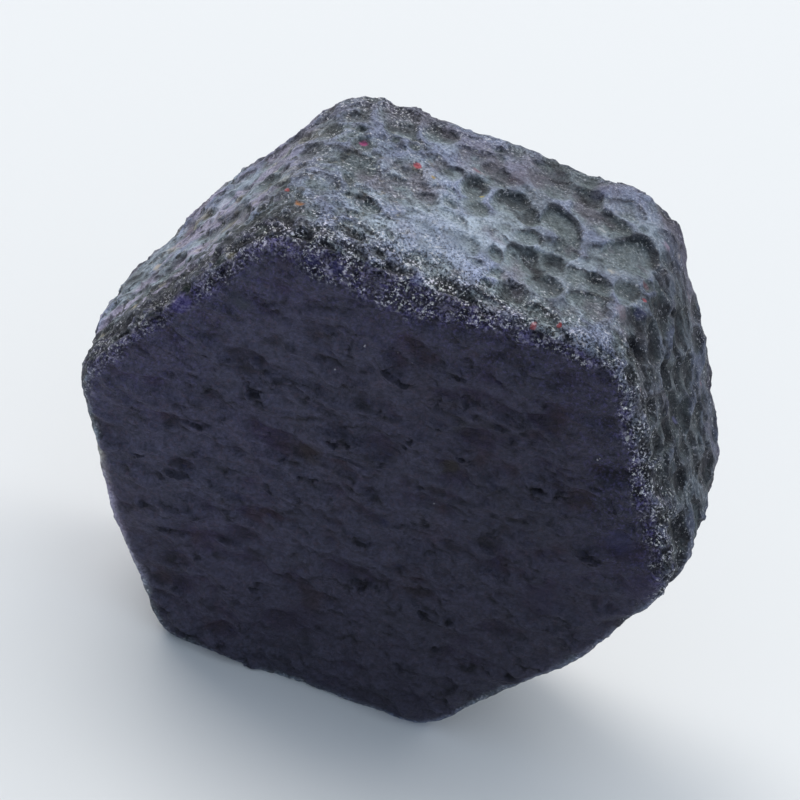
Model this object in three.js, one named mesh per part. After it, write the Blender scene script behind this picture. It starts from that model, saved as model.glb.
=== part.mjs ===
// Rough sapphire: one natural corundum crystal, a short hexagonal prism with worn, rounded edges
// and corroded, pitted prism faces. Millimetres, +Z up.
//
// The crystal lies on one of its prism faces. Its c-axis runs along Y, so the two basal faces
// (the flat ends) face -Y and +Y, and the six prism faces go round the Y axis: one up, one down,
// and two on each side.

import * as THREE from 'three';
import { mergeVertices } from 'three/addons/utils/BufferGeometryUtils.js';

// ---------------------------------------------------------------- driving dimensions (mm)

const ACROSS_CORNERS = 32;                    // corner to corner of the ideal hexagon
const CENTRE_Z = (ACROSS_CORNERS / 2) * Math.cos(Math.PI / 6); // height of the prism axis
const EDGE_SHARPNESS = 18;                    // higher is sharper; 18 gives edges of about 1.3 mm radius
const SPREAD = [16, 7, 14];                   // half sizes that spread the mesh evenly over the body
const DETAIL = 20;                            // 20 * (DETAIL + 1)^2 triangles
const PIT_DEPTH = 1.0;                        // scales every pit's depth
const LEAN = 0.75;                            // how much deeper a pit is at its steep wall than in the middle
const BED_DROP = 0.16;                        // how far the resting face is worn flat
const SWELL_RADIUS = 1.9;                     // reach of one swelling along the outline
const OFFSET = [0.2, -0.61];                  // moves the middle of the footprint box to the origin

// Faces: outward normal and distance from the point (0, 0, 0) in the middle of the resting face.
const FACES = [
  { n: [0.032, -0.1174, 0.9926], d: 26.984 }, // upper prism face
  { n: [-0.8688, 0.0394, 0.4936], d: 21.13 }, // upper left
  { n: [0.8799, -0.0872, 0.4671], d: 20.519 }, // upper right
  { n: [-0.8642, -0.0668, -0.4987], d: 7.426 }, // lower left
  { n: [0.8374, -0.0429, -0.5449], d: 5.862 }, // lower right
  { n: [0.0179, -0.9998, -0.0104], d: 5.382 }, // front basal face
  { n: [-0.0255, 0.9925, -0.1192], d: 3.727 }, // back basal face
  { n: [0, 0, -1], d: 0 },                    // resting prism face
];

// Low swellings and hollows along the outline: x, y, z, height.
const SWELLINGS = [
  [14.5, 5.58, 17.47, 0.09],
  [15.69, 4.99, 14.74, -0.15],
  [15.5, 1.4, 14.11, 0.2],
  [15.12, -3.42, 13.96, 0.12],
  [14.33, -4.74, 12.01, -0.23],
  [12.63, -4.64, 9.19, 0.3],
  [10.99, -4.69, 6.72, 0.22],
  [9.18, -4.7, 3.94, 0.07],
  [7.33, -4.75, 1.41, 0.01],
  [5.05, -4.83, 0.29, 0.15],
  [2.32, -4.9, 0.2, 0.01],
  [-0.5, -4.99, 0.22, 0.08],
  [-3.13, -4.99, 0.19, 0.07],
  [-5.87, -5.02, 0.23, 0.02],
  [-8.37, -5.05, 1.11, 0.14],
  [-10.24, -4.98, 3.73, -0.05],
  [-11.82, -5.08, 6.5, 0.25],
  [-13.51, -5.06, 9.36, 0.1],
  [-15.07, -5.19, 12.24, -0.26],
  [-15.8, -4.39, 14.56, 0.17],
  [-15.9, 0.97, 13.91, 0.19],
  [-15.58, 4.29, 14.75, -0.21],
  [-14.18, 4.67, 17.38, -0.12],
  [-12.81, 5.09, 19.72, 0.38],
  [-11.33, 5.46, 22.29, -0.06],
  [-9.91, 5.71, 24.8, -0.08],
  [-8.22, 6.18, 27.17, 0.11],
  [-5.89, 6.53, 27.88, -0.19],
  [-3.18, 6.52, 27.92, -0.04],
  [-0.64, 6.62, 27.82, -0.17],
  [2.09, 6.63, 27.77, 0.14],
  [4.75, 6.68, 27.69, -0.14],
  [7.72, 6.82, 27.42, 0.13],
  [9.98, 6.51, 25.96, -0.2],
  [11.52, 6.14, 23.22, -0.05],
  [12.98, 5.92, 20.38, 0.14],
];

// Corrosion pits, each a shallow elliptical dish: the middle of its mouth x, y, z; its semi-major
// axis as a vector; its semi-minor length; its depth; and how steep its wall is (1 is a plain bowl).
const PITS = [
  [1.31, -5.15, 26.38, -1.27, -0.09, -0.01, 0.69, 0.3, 1.6],
  [4.13, -4.81, 26.43, 1.21, -0.79, -0.3, 0.85, 0.34, 1.8],
  [6.19, -2.67, 26.64, 0.83, 1.05, 0.07, 1.08, 0.3, 1.8],
  [6.4, -0.88, 26.84, -0.19, -0.71, -0.07, 0.67, 0.22, 1.6],
  [5.63, 0.24, 27.02, 0.4, 0.62, 0.05, 0.56, 0.14, 1.6],
  [7.44, 1.82, 27.06, 0.97, 1.59, 0.04, 1.3, 0.42, 1.8],
  [4.04, -1.17, 26.92, 0.01, -0.8, -0.09, 0.62, 0.18, 1.5],
  [2.4, -1.84, 26.89, 0.55, -1.29, -0.17, 0.99, 0.3, 1.8],
  [1.38, -1, 27.02, 0.6, -0.57, -0.09, 0.6, 0.16, 1.4],
  [2.26, 0.07, 27.12, 0.67, 0.7, 0.06, 0.72, 0.26, 1.8],
  [0.97, 1.55, 27.34, 0.69, -0.59, -0.09, 0.78, 0.24, 2],
  [-0.95, 1.96, 27.45, -0.08, -0.74, -0.08, 0.58, 0.22, 1.8],
  [-0.1, 2.95, 27.54, 0.7, 0.3, 0.01, 0.43, 0.2, 1.4],
  [3.81, 1.85, 27.28, 0.92, -1.19, -0.17, 0.96, 0.36, 1.7],
  [5.3, 3.14, 27.38, 1.06, 0.19, -0.02, 0.67, 0.26, 1.6],
  [2.19, 5.71, 27.79, 0.88, 0.09, -0.02, 0.62, 0.32, 1.4],
  [-2.28, 2.5, 27.55, 0.9, 0.27, 0, 0.66, 0.2, 1.6],
  [-0.92, 4.21, 27.71, 0.97, 0.14, -0.01, 0.6, 0.12, 1.4],
  [4.86, 4.14, 27.52, 0.42, 0.35, 0.03, 0.52, 0.12, 1.4],
  [1.3, 3.25, 27.53, 0.14, -0.97, -0.12, 0.82, 0.1, 1.4],
  [3.41, 4.53, 27.61, 1.17, 0.02, -0.04, 0.84, 0.12, 1.3],
  [6.35, 4.59, 27.5, 1.16, 0.31, -0.04, 0.82, 0.12, 1.3],
  [8.82, 4.59, 26.97, -0.49, -0.71, 0.18, 0.53, 0.16, 1.3],
  [8.59, -0.81, 26.35, -0.58, -0.73, 0.22, 0.59, 0.14, 1.3],
  [7.91, 5.62, 27.44, 0.34, -0.53, -0.14, 0.51, 0.1, 1.2],
  [4.44, 0.91, 27.15, 0.54, 0.29, 0.02, 0.42, 0.1, 1.2],
  [3.37, 0.19, 27.1, 0.24, -0.5, -0.07, 0.44, 0.1, 1.3],
  [7.07, -3.8, 26.42, 0.85, 0.25, -0.09, 0.55, 0.07, 1.2],
  [-5.14, -1.82, 27.13, 0.44, -0.47, -0.07, 0.45, 0.34, 1.4],
  [-3.09, 2, 27.52, 0.53, 0.28, 0.02, 0.51, 0.1, 1.2],
  [-7.66, 4.35, 27.56, 0.65, -0.43, 0.23, 0.48, 0.32, 1.5],
  [-8.41, 1.19, 27, -0.64, 0.83, -0.36, 0.49, 0.16, 1.5],
  [-9.8, -4.83, 25.62, 0.41, 0.25, 0.52, 0.65, 0.26, 1.4],
  [-9.66, -1.28, 25.74, 0.4, -0.43, 0.57, 0.69, 0.24, 1.4],
  [-9.4, 2.21, 25.96, 0.33, 0.12, 0.48, 0.47, 0.08, 1.2],
  [-11.63, -4.69, 22.68, 0.63, -0.34, 1.1, 0.77, 0.18, 1.3],
  [-13.63, -2.3, 19, -0.36, 0.73, -0.69, 0.49, 0.16, 1.2],
  [-14.78, -0.86, 16.83, 0.21, -0.92, 0.45, 0.58, 0.16, 1.3],
  [-15.01, -1.57, 16.46, 0.15, -0.73, 0.34, 0.43, 0.12, 1.2],
  [-12.63, 0.21, 20.57, 0.32, -0.25, 0.58, 0.51, 0.08, 1.2],
  [-13.2, 4.75, 19.16, 0.16, -0.97, 0.56, 0.7, 0.08, 1.2],
  [-13.34, 0.18, 19.31, 0.28, -0.37, 0.53, 0.43, 0.1, 1.2],
  [10.38, 2.67, 24.82, -0.31, -0.63, 0.43, 0.43, 0.26, 1.4],
  [10.9, 2.7, 23.88, -0.32, -0.46, 0.5, 0.44, 0.24, 1.4],
  [10.36, 4.34, 25.16, 0.32, -0.21, -0.58, 0.47, 0.14, 1.2],
  [9.58, -0.44, 25.52, -0.26, -0.5, 0.26, 0.48, 0.16, 1.3],
  [9.2, -3.28, 25.52, -0.59, -0.42, 0.56, 0.47, 0.2, 1.3],
  [11.03, 0.89, 23.32, -0.3, -0.67, 0.43, 0.43, 0.2, 1.4],
  [12.33, 4.38, 21.51, -0.25, -0.3, 0.41, 0.42, 0.14, 1.2],
  [11.62, -3, 21.47, 0.29, -0.23, -0.58, 0.49, 0.16, 1.3],
  [13.02, -0.23, 19.36, 0.25, -0.27, -0.52, 0.6, 0.2, 1.3],
  [13.48, 1.6, 18.83, 0.22, -0.3, -0.47, 0.53, 0.16, 1.3],
  [12.26, -1.09, 20.63, 0.27, -0.11, -0.53, 0.49, 0.18, 1.3],
  [12.51, -3.07, 19.79, 0.39, -0, -0.74, 0.62, 0.26, 1.4],
  [14.11, 0.37, 17.41, 0.35, 0.21, -0.64, 0.65, 0.16, 1.3],
  [12.55, -4.22, 19.47, -0.26, -0.4, 0.37, 0.42, 0.18, 1.3],
  [14.96, -0.54, 15.51, 0.51, 0.27, -1.15, 0.66, 0.24, 1.4],
  [14.1, -1.71, 17.03, 0.36, 0.02, -0.69, 0.46, 0.14, 1.3],
  [14.82, 2.15, 16.36, 0.38, -0.27, -0.81, 0.46, 0.08, 1.2],
  [13.84, 3.89, 18.59, 0.26, -0.19, -0.52, 0.44, 0.1, 1.2],
  [13.02, 2.57, 19.88, 0.28, -0.27, -0.59, 0.43, 0.12, 1.2],
  [-9.64, -5.77, 21.98, -1.09, 0, -0.43, 0.8, 0.1, 1.6],
  [-10.19, -5.76, 19.86, -0.81, -0.01, -0.12, 0.48, 0.08, 1.5],
  [-10.64, -5.76, 18.07, -0.94, -0.01, -0.27, 0.6, 0.06, 1.4],
  [-7.88, -5.75, 22.02, -0.54, -0, -0.46, 0.56, 0.1, 1.4],
  [-3.58, -5.65, 19.32, -0.77, -0.01, 0.01, 0.6, 0.08, 1.3],
  [-0.08, -5.55, 16.03, -0.86, -0.01, -0.19, 0.61, 0.07, 1.3],
  [2.78, -5.51, 16.81, -0.6, -0.01, -0.2, 0.43, 0.12, 1.4],
  [-2.37, -5.56, 13.18, -0.77, -0.01, -0.17, 0.5, 0.08, 1.4],
  [-0.94, -5.48, 8.07, -1.03, -0.01, -0.46, 0.57, 0.14, 1.4],
  [8.82, -5.29, 7.21, -0.6, -0.02, -0.04, 0.53, 0.1, 1.4],
  [-1.53, -5.46, 4.44, -0.61, -0.01, -0.42, 0.5, 0.06, 1.3],
  [11.83, -5.32, 15.85, -1.23, -0.05, -0.26, 0.74, 0.08, 1.4],
  [7.34, -5.48, 22.64, -0.67, -0.02, 0.03, 0.47, 0.06, 1.3],
  [10.01, -5.38, 16.69, -0.38, -0, -0.33, 0.42, 0.06, 1.2],
  [3.02, -5.44, 10.75, -0.6, -0.01, -0.39, 0.49, 0.05, 1.3],
  [-2.4, -5.6, 16.94, -1.39, -0.02, -0.52, 0.48, 0.12, 1.3],
  [-11.81, -5.75, 15.61, -0.76, -0.01, -0.22, 0.49, 0.06, 1.3],
];

// The same on the lower, back and resting faces.
const PITS_BELOW = [
  [-7.86, 5.56, 16.7, -1.93, -0.04, 0.12, 1.77, 0.19, 1.8],
  [5.03, 6.83, 24.54, -0.69, 0.04, 0.51, 0.73, 0.09, 1.9],
  [-1.7, 4.4, 5.73, -0.42, 0.07, 0.68, 0.65, 0.07, 1.7],
  [-4.12, 5.94, 19.09, 1.01, 0.14, 0.95, 1.32, 0.1, 1.5],
  [2.49, 4.27, 3.73, -0.64, 0.05, 0.54, 0.49, 0.08, 1.2],
  [-11.38, 2.87, 4.46, -0.05, -0.7, 0.11, 0.35, 0.16, 1.5],
  [-0.54, 5.77, 16.89, -1.35, 0.02, 0.43, 0.87, 0.1, 1.3],
  [-6.77, -1.61, 0.11, 1.36, 0.33, -0.18, 1.22, 0.17, 1.5],
  [7.29, 5.29, 11.23, -0.58, 0.03, 0.4, 0.52, 0.06, 1.3],
  [15.16, -1.76, 13.21, 0.12, 0.6, 0.29, 0.64, 0.13, 1.9],
  [-0.53, 4.83, 9.06, 0.42, 0.15, 1.15, 0.93, 0.1, 1.9],
  [-11.51, -5, 5.9, 0.29, -0.54, -0.05, 0.48, 0.13, 1.8],
  [7.64, 3.7, 1.36, -0.46, 0.34, -0.04, 0.46, 0.08, 1.4],
  [-3.63, 5.44, 14.83, 0.32, 0.06, 0.46, 0.31, 0.04, 1.8],
  [-8.76, 0.03, 0.87, 0.06, -0.67, -0.01, 0.37, 0.14, 1.2],
  [-8.89, -3.13, 1.25, 0.19, -0.81, -0.14, 0.58, 0.14, 1.8],
  [-10.64, 1.26, 3.39, -0.01, -0.75, 0.12, 0.39, 0.16, 1.6],
  [1.37, 6.71, 27.73, -0.59, -0.29, 0.24, 0.47, 0.11, 1.8],
  [8.76, -2.14, 2.89, 0.15, 0.72, 0.17, 0.6, 0.13, 1.3],
  [-14.97, -0.3, 11.13, 0.28, -0.31, -0.48, 0.43, 0.1, 1.5],
  [1.77, 4.35, 4.57, 0.63, 0.11, 0.77, 0.57, 0.07, 1.6],
  [-15.86, -2.5, 14.04, 0.01, -1.26, -0.49, 0.72, 0.29, 1.5],
  [-13.62, -1.97, 8.98, 0.32, -1.3, -0.39, 0.64, 0.19, 1.5],
  [3.43, 5.99, 17.9, -0.69, 0.01, 0.26, 0.61, 0.08, 1.6],
  [3.96, -4.33, 0.05, 0.41, -0.46, 0.06, 0.39, 0.07, 1.6],
  [-7.96, 1.36, 0.33, 0.91, -0.56, -0.32, 0.74, 0.14, 1.5],
  [11.26, -0.02, 6.54, -0.06, 0.89, -0.16, 0.53, 0.15, 1.7],
  [9.57, 3.72, 3.76, -0.29, 0.61, -0.22, 0.48, 0.17, 1.4],
  [10.92, -1.45, 6.14, 0.43, 1.21, 0.56, 1.21, 0.26, 1.4],
  [1.98, -3.66, 0, 0.61, -0.14, 0, 0.45, 0.09, 1.8],
  [-9.52, 0.26, 1.73, -0.14, -0.51, 0.25, 0.4, 0.11, 1.5],
  [-11.5, 1.36, 4.85, -0.26, -1.32, 0.63, 0.79, 0.27, 1.4],
  [-3.85, -4.13, 0.01, 1, -0.02, -0, 0.91, 0.14, 1.6],
  [2.67, 4.88, 8.82, 1.69, 0.14, 0.77, 1.56, 0.14, 1.5],
  [7.42, 5.8, 15.44, 1.33, 0.19, 1.28, 1.45, 0.15, 1.4],
  [-10.56, -3.96, 3.95, 0.19, -1.12, -0.17, 0.89, 0.19, 1.6],
  [-5.95, 5.37, 14.71, -1.21, 0.1, 1.09, 1.01, 0.16, 1.9],
  [-14.91, -5.25, 12.01, 1.01, -0.8, -0.81, 0.7, 0.23, 1.8],
  [8.19, 0.7, 1.87, 0.17, 1.14, 0.15, 0.54, 0.19, 1.6],
  [-15.34, 3.14, 11.38, 0.03, -0.59, 0.01, 0.27, 0.13, 1.3],
  [-9.11, 2.85, 1.06, -0.87, -1.28, 0.59, 0.98, 0.32, 1.2],
  [-2.09, 4.63, 7.71, -0.53, 0.05, 0.51, 0.53, 0.05, 1.5],
  [12.31, 1.61, 8.03, -0.26, 1.2, -0.5, 0.84, 0.21, 1.6],
  [11.39, 5.3, 10.5, 0.13, 0.09, 0.69, 0.53, 0.05, 1.3],
  [1.39, 3.32, 0.16, -1.13, -0.27, -0.14, 0.98, 0.14, 1.6],
  [15.55, 4.38, 13.19, 0.09, 0.81, 0.17, 0.39, 0.11, 1.2],
  [-2.51, 4.12, 3.62, 0.63, 0.13, 0.95, 1.03, 0.1, 1.8],
  [-15.93, 3.58, 13.12, -0.01, -0.69, 0.11, 0.37, 0.16, 1.7],
  [-0.09, 5.57, 15.11, 0.77, 0.06, 0.35, 0.56, 0.07, 1.9],
  [4.44, 4.61, 6.2, -0.44, 0.03, 0.37, 0.49, 0.04, 1.8],
  [10.4, 5.61, 13.24, 0.37, 0.08, 0.59, 0.47, 0.07, 1.2],
  [2.34, 4.06, 2.15, 0.68, 0.05, 0.25, 0.67, 0.06, 1.3],
  [13.83, 1.75, 10.37, -0.14, 0.52, -0.26, 0.27, 0.09, 1.5],
  [9.72, 5.29, 10.67, 0.53, 0.07, 0.48, 0.67, 0.08, 1.4],
  [-0.67, 4.5, 6.34, 0.17, 0.08, 0.62, 0.53, 0.07, 1.4],
  [-13.92, 3.37, 8.8, 0.18, -1.41, -0.29, 0.8, 0.23, 1.9],
  [-1.03, -3.02, 0, 1.04, -0.57, 0, 1.05, 0.12, 1.9],
  [-7.73, 4.9, 11.21, -0.55, 0.01, 0.17, 0.31, 0.06, 1.3],
  [-1.28, 4.25, 4.36, -0.46, 0.04, 0.43, 0.41, 0.06, 1.8],
  [-2.78, 5.39, 14.23, -0.64, 0.06, 0.67, 0.66, 0.07, 1.3],
  [12.62, -3.75, 8.94, -0.03, 0.92, -0.14, 0.69, 0.17, 1.8],
  [3.8, 1.15, 0.01, 1.22, -0.39, 0.02, 0.83, 0.15, 1.5],
  [6.46, 4.95, 8.6, -1.06, -0.02, 0.08, 0.69, 0.1, 1.5],
  [-1.79, 5.31, 13.35, -0.44, 0.05, 0.48, 0.6, 0.05, 1.4],
  [-7.33, 6.46, 24.19, 0.61, 0.03, 0.07, 0.4, 0.06, 1.6],
  [-5.84, 5.2, 13.28, -0.23, 0.06, 0.58, 0.47, 0.05, 1.9],
  [-0.76, 6.22, 20.72, -0.29, 0.22, 1.91, 1.06, 0.15, 1.5],
  [-7.69, 4.24, 5.67, 0.66, 0.06, 0.39, 0.68, 0.06, 1.9],
  [4.07, 4.7, 6.99, 0.76, 0.09, 0.55, 0.65, 0.08, 1.5],
  [4.47, 5.49, 13.45, -0.69, 0.09, 0.89, 0.9, 0.11, 1.7],
  [11.53, -2.83, 7.18, -0, 1.27, -0.11, 0.91, 0.24, 1.8],
  [0.35, 4.7, 7.78, 0.86, 0.06, 0.3, 0.78, 0.06, 1.4],
  [4.59, 6.13, 18.76, -1.37, 0.09, 1.02, 1.34, 0.11, 1.7],
  [-14.77, 0.51, 10.66, 0.08, -1.08, 0.01, 0.94, 0.19, 1.4],
  [-1.49, 3.94, 2.02, 0.96, 0.03, 0.04, 0.75, 0.1, 1.3],
  [6.26, 5.4, 12.33, 0.71, 0.07, 0.45, 0.38, 0.09, 1.4],
  [6.3, -1.83, 0.36, 0.8, -0.06, 0.32, 0.54, 0.12, 1.6],
  [14.68, -4.41, 12.45, 0.21, 0.76, 0.07, 0.36, 0.14, 1.5],
  [0.15, -4.66, 0.06, 0.71, 0.21, -0.05, 0.37, 0.08, 1.8],
  [-15.83, -0.15, 13.14, 0.03, -0.74, -0.02, 0.6, 0.13, 1.4],
  [-13.21, -4.64, 8.66, 0.02, -0.89, 0.2, 0.6, 0.17, 1.8],
  [-0.4, 3.4, 0.25, -0.69, -0.11, -0.09, 0.42, 0.15, 1.6],
  [-12.45, -4.56, 7.32, -0.02, -0.67, 0.2, 0.52, 0.14, 1.5],
  [-12.09, -1.51, 6.26, 0.45, -1.15, -0.63, 0.85, 0.3, 1.5],
  [3.15, 5.31, 12.28, -0.41, 0.07, 0.65, 0.62, 0.07, 1.3],
  [12.27, -0.62, 8.15, -0.03, 0.63, -0.1, 0.42, 0.11, 1.8],
  [-14.29, 1.53, 9.68, 0.17, -0.63, -0.21, 0.52, 0.14, 1.3],
  [3.75, 5.57, 14.34, -0.7, 0.02, 0.3, 0.53, 0.05, 1.5],
  [3.52, 2.66, 0.02, 1.06, -0.12, 0.01, 0.75, 0.14, 1.4],
  [-5.65, 0.05, 0.02, 1.56, 0.49, -0.05, 1.07, 0.25, 1.8],
  [-3.22, 6.77, 25.9, 1.37, 0.11, 0.7, 1.35, 0.14, 1.8],
  [11.95, 3.23, 7.35, 0.22, 1.14, 0.25, 1.08, 0.18, 1.6],
  [7.56, 6.27, 19.3, 0.6, 0.03, 0.13, 0.54, 0.06, 1.7],
  [13.17, 1.96, 9.33, 0.29, 0.99, 0.37, 0.51, 0.21, 1.8],
  [-0.57, 5.01, 10.53, -1.1, 0.08, 0.9, 1.3, 0.14, 1.6],
  [-15.32, -4.21, 12.35, 0.13, -0.56, -0.19, 0.46, 0.09, 1.6],
  [2.12, -2.32, 0, 0.75, 0.12, 0, 0.36, 0.11, 1.9],
  [8.99, 6.01, 16.82, -0.57, 0.06, 0.61, 0.56, 0.07, 1.3],
  [-0.12, 5.25, 12.45, 0.35, 0.09, 0.67, 0.67, 0.08, 1.9],
  [-5.86, -3.31, 0.04, 0.52, 0.19, -0.03, 0.44, 0.06, 1.3],
  [15.29, -0.77, 13.51, 0.01, 1.04, -0.41, 0.98, 0.16, 1.7],
  [1.59, 5.34, 12.87, 1.58, 0.16, 0.98, 0.9, 0.2, 1.6],
  [-3.44, 0.87, 0, 1.09, 0.18, -0, 1.04, 0.16, 1.7],
  [12.14, 6.07, 16.73, -0.22, 0.08, 0.76, 0.73, 0.08, 1.3],
  [13.85, -1.93, 10.7, -0.15, 0.57, -0.28, 0.59, 0.14, 1.6],
  [11.96, -1.28, 7.72, -0.14, 0.54, -0.26, 0.42, 0.09, 1.7],
  [5.91, 0.73, 0.2, 1.18, -0.2, 0.28, 0.74, 0.17, 1.6],
  [15.16, 5.35, 12.85, -0.51, 0.35, -0.07, 0.35, 0.15, 1.7],
  [-5.68, 4.13, 4.3, 1.07, 0.11, 0.69, 0.62, 0.13, 1.8],
  [7.07, -4.02, 0.92, 0.47, 0.56, 0.36, 0.77, 0.19, 1.6],
  [-15.92, 1.94, 13.32, 0.01, -0.6, -0, 0.52, 0.1, 1.2],
  [3.94, 5.17, 10.91, 1.56, 0.2, 1.34, 1.84, 0.21, 1.5],
  [-4.17, 5.6, 16.25, -0.25, 0.07, 0.64, 0.5, 0.07, 1.4],
  [-4.72, 2.8, 0.04, 0.94, 0.19, 0.02, 0.8, 0.16, 1.3],
  [-14.45, -3.85, 10.67, -0.03, -1.08, 0.2, 0.51, 0.19, 1.4],
  [5.31, 5.79, 15.81, -0.54, 0.01, 0.2, 0.27, 0.05, 1.5],
  [-15.39, 1.99, 11.64, 0.16, -0.61, -0.26, 0.42, 0.14, 1.2],
  [8.35, 4.06, 2.65, -0.35, 0.3, 0.46, 0.31, 0.06, 1.7],
  [7.82, 2.27, 1.32, -0.13, 0.86, -0.19, 0.81, 0.17, 1.3],
  [-4.89, -2.2, 0.01, 1.13, 0.4, -0.02, 1.04, 0.15, 1.7],
];

// ---------------------------------------------------------------- the surface

const centre = new THREE.Vector3(0, 0, CENTRE_Z);
const planes = FACES.map(({ n, d }) => {
  const normal = new THREE.Vector3(...n);
  return { normal, reach: d - normal.dot(centre) };
});

// Distance from the centre to the rounded prism along a unit direction. A high power of each
// face's share keeps the faces flat and turns the edges and corners in smooth curves.
function reach(direction) {
  let sum = 0;
  for (const { normal, reach: r } of planes) {
    const share = Math.max(direction.dot(normal) / r, 0);
    sum += share ** EDGE_SHARPNESS;
  }
  return sum ** (-1 / EDGE_SHARPNESS);
}

// Outward normal of the rounded prism at a point on it.
function outward(point) {
  const out = new THREE.Vector3();
  const from = point.clone().sub(centre);
  for (const { normal, reach: r } of planes) {
    const share = Math.max(from.dot(normal) / r, 0);
    out.addScaledVector(normal, share ** (EDGE_SHARPNESS - 1) / r);
  }
  return out.normalize();
}

// The way that a face's pits get deeper: backward on the prism faces, upward on the basal faces.
function steepWay(normal) {
  const basal = THREE.MathUtils.smoothstep(Math.abs(normal.y), 0.70, 0.97);
  const way = new THREE.Vector3(0.35, 1, 0.25).multiplyScalar(1 - basal);
  way.addScaledVector(new THREE.Vector3(0.25, 0, 1), basal);
  return way.addScaledVector(normal, -way.dot(normal)).normalize();
}

const dishes = [...PITS, ...PITS_BELOW].map(([x, y, z, ax, ay, az, minor, depth, steep]) => {
  const mouth = new THREE.Vector3(x, y, z);
  const along = new THREE.Vector3(ax, ay, az);
  const major = along.length();
  along.divideScalar(major);
  const normal = outward(mouth);
  const across = new THREE.Vector3().crossVectors(normal, along);
  const way = steepWay(normal);
  return { mouth, along, across, normal, major, minor, depth, steep, leanU: along.dot(way), leanV: across.dot(way) };
});

// A slow wander of position, so that no dish keeps a true elliptical rim.
function wander({ x, y, z }) {
  return new THREE.Vector3(
    x + 0.13 * Math.sin(2.9 * y + 1.7 * z + 0.5) + 0.06 * Math.sin(6.1 * z - 2.3 * x),
    y + 0.12 * Math.sin(2.6 * z + 1.9 * x + 2.1) + 0.06 * Math.sin(5.7 * x + 2.9 * y),
    z + 0.12 * Math.sin(2.7 * x - 1.5 * y + 4.0) + 0.06 * Math.sin(5.3 * y + 3.1 * z),
  );
}

function dishDepth(point, normal) {
  const p = wander(point);
  let deepest = 0;
  const from = new THREE.Vector3();
  for (const dish of dishes) {
    from.subVectors(p, dish.mouth);
    if (from.lengthSq() > 12 || normal.dot(dish.normal) < 0.3) continue;
    const u = from.dot(dish.along) / dish.major;
    const v = from.dot(dish.across) / dish.minor;
    const w = from.dot(dish.normal) / (dish.major + dish.minor);
    const s = u * u + v * v + w * w;
    if (s >= 1) continue;
    const lean = THREE.MathUtils.clamp(u * dish.leanU + v * dish.leanV, -1, 1);
    const bowl = (1 - s ** (1.5 + 1.5 * dish.steep)) * (1 + LEAN * lean) / (1 + 0.5 * LEAN);
    deepest = Math.max(deepest, PIT_DEPTH * dish.depth * bowl);
  }
  return deepest;
}

// Long, low waves that keep the faces from being true planes.
function waves({ x, y, z }) {
  return 0.045 * Math.sin(0.62 * x + 0.4 * y + 0.3 * z)
    + 0.04 * Math.sin(0.5 * z - 0.75 * x + 0.9 * y + 1.1)
    + 0.03 * Math.sin(1.3 * x + 0.8 * z - 0.6 * y + 2.3)
    + 0.025 * Math.sin(1.7 * z - 0.9 * x + 1.5 * y + 0.7);
}

function swelling(point) {
  let sum = 0;
  for (const [x, y, z, height] of SWELLINGS) {
    const apart = (point.x - x) ** 2 + (point.y - y) ** 2 + (point.z - z) ** 2;
    sum += height * Math.exp(-apart / (2 * SWELL_RADIUS ** 2));
  }
  return sum;
}

// A point of the crystal's surface in a given unit direction from the centre.
function surfacePoint(direction) {
  const point = centre.clone().addScaledVector(direction, reach(direction));
  const normal = outward(point);
  const rise = waves(point) - dishDepth(point, normal);
  const grown = swelling(point);
  point.addScaledVector(normal, rise).addScaledVector(direction, grown);
  point.z = Math.max(point.z - BED_DROP, 0);
  return point;
}

// ---------------------------------------------------------------- the mesh

const ball = new THREE.IcosahedronGeometry(1, DETAIL);
ball.deleteAttribute('normal');
ball.deleteAttribute('uv');
const body = mergeVertices(ball, 1e-5);

const position = body.getAttribute('position');
const vertex = new THREE.Vector3();
for (let i = 0; i < position.count; i += 1) {
  vertex.fromBufferAttribute(position, i).normalize();
  vertex.set(vertex.x * SPREAD[0], vertex.y * SPREAD[1], vertex.z * SPREAD[2]).normalize();
  const point = surfacePoint(vertex);
  position.setXYZ(i, point.x + OFFSET[0], point.y + OFFSET[1], point.z);
}
body.computeVertexNormals();

const crystal = new THREE.Mesh(
  body,
  new THREE.MeshStandardMaterial({ color: 0x2b2d40, roughness: 0.62, metalness: 0.0 }),
);
crystal.name = 'sapphire_crystal';

const part = new THREE.Group();
part.add(crystal);

export default part;
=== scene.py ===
import math

import bpy
import numpy as np
from mathutils import Matrix, Vector


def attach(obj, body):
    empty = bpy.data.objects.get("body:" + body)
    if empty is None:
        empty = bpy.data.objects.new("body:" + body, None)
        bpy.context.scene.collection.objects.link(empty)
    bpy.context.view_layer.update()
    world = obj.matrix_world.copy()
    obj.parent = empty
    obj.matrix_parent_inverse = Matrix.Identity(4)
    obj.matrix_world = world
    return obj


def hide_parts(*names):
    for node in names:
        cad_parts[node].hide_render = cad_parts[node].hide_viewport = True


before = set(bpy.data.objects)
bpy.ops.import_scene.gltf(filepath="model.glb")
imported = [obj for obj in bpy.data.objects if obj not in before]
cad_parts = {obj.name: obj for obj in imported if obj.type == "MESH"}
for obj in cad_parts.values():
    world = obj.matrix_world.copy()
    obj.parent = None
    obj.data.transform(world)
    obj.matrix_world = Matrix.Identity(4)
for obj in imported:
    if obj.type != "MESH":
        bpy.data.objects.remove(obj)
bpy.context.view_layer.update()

NODE = "sapphire_crystal"
MM = 0.001

# ------------------------------------------------------------------ the crystal's own dimensions, in mm
# The same rounded prism, outline and pits as the CAD solid, with the finer relief added on top.

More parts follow.
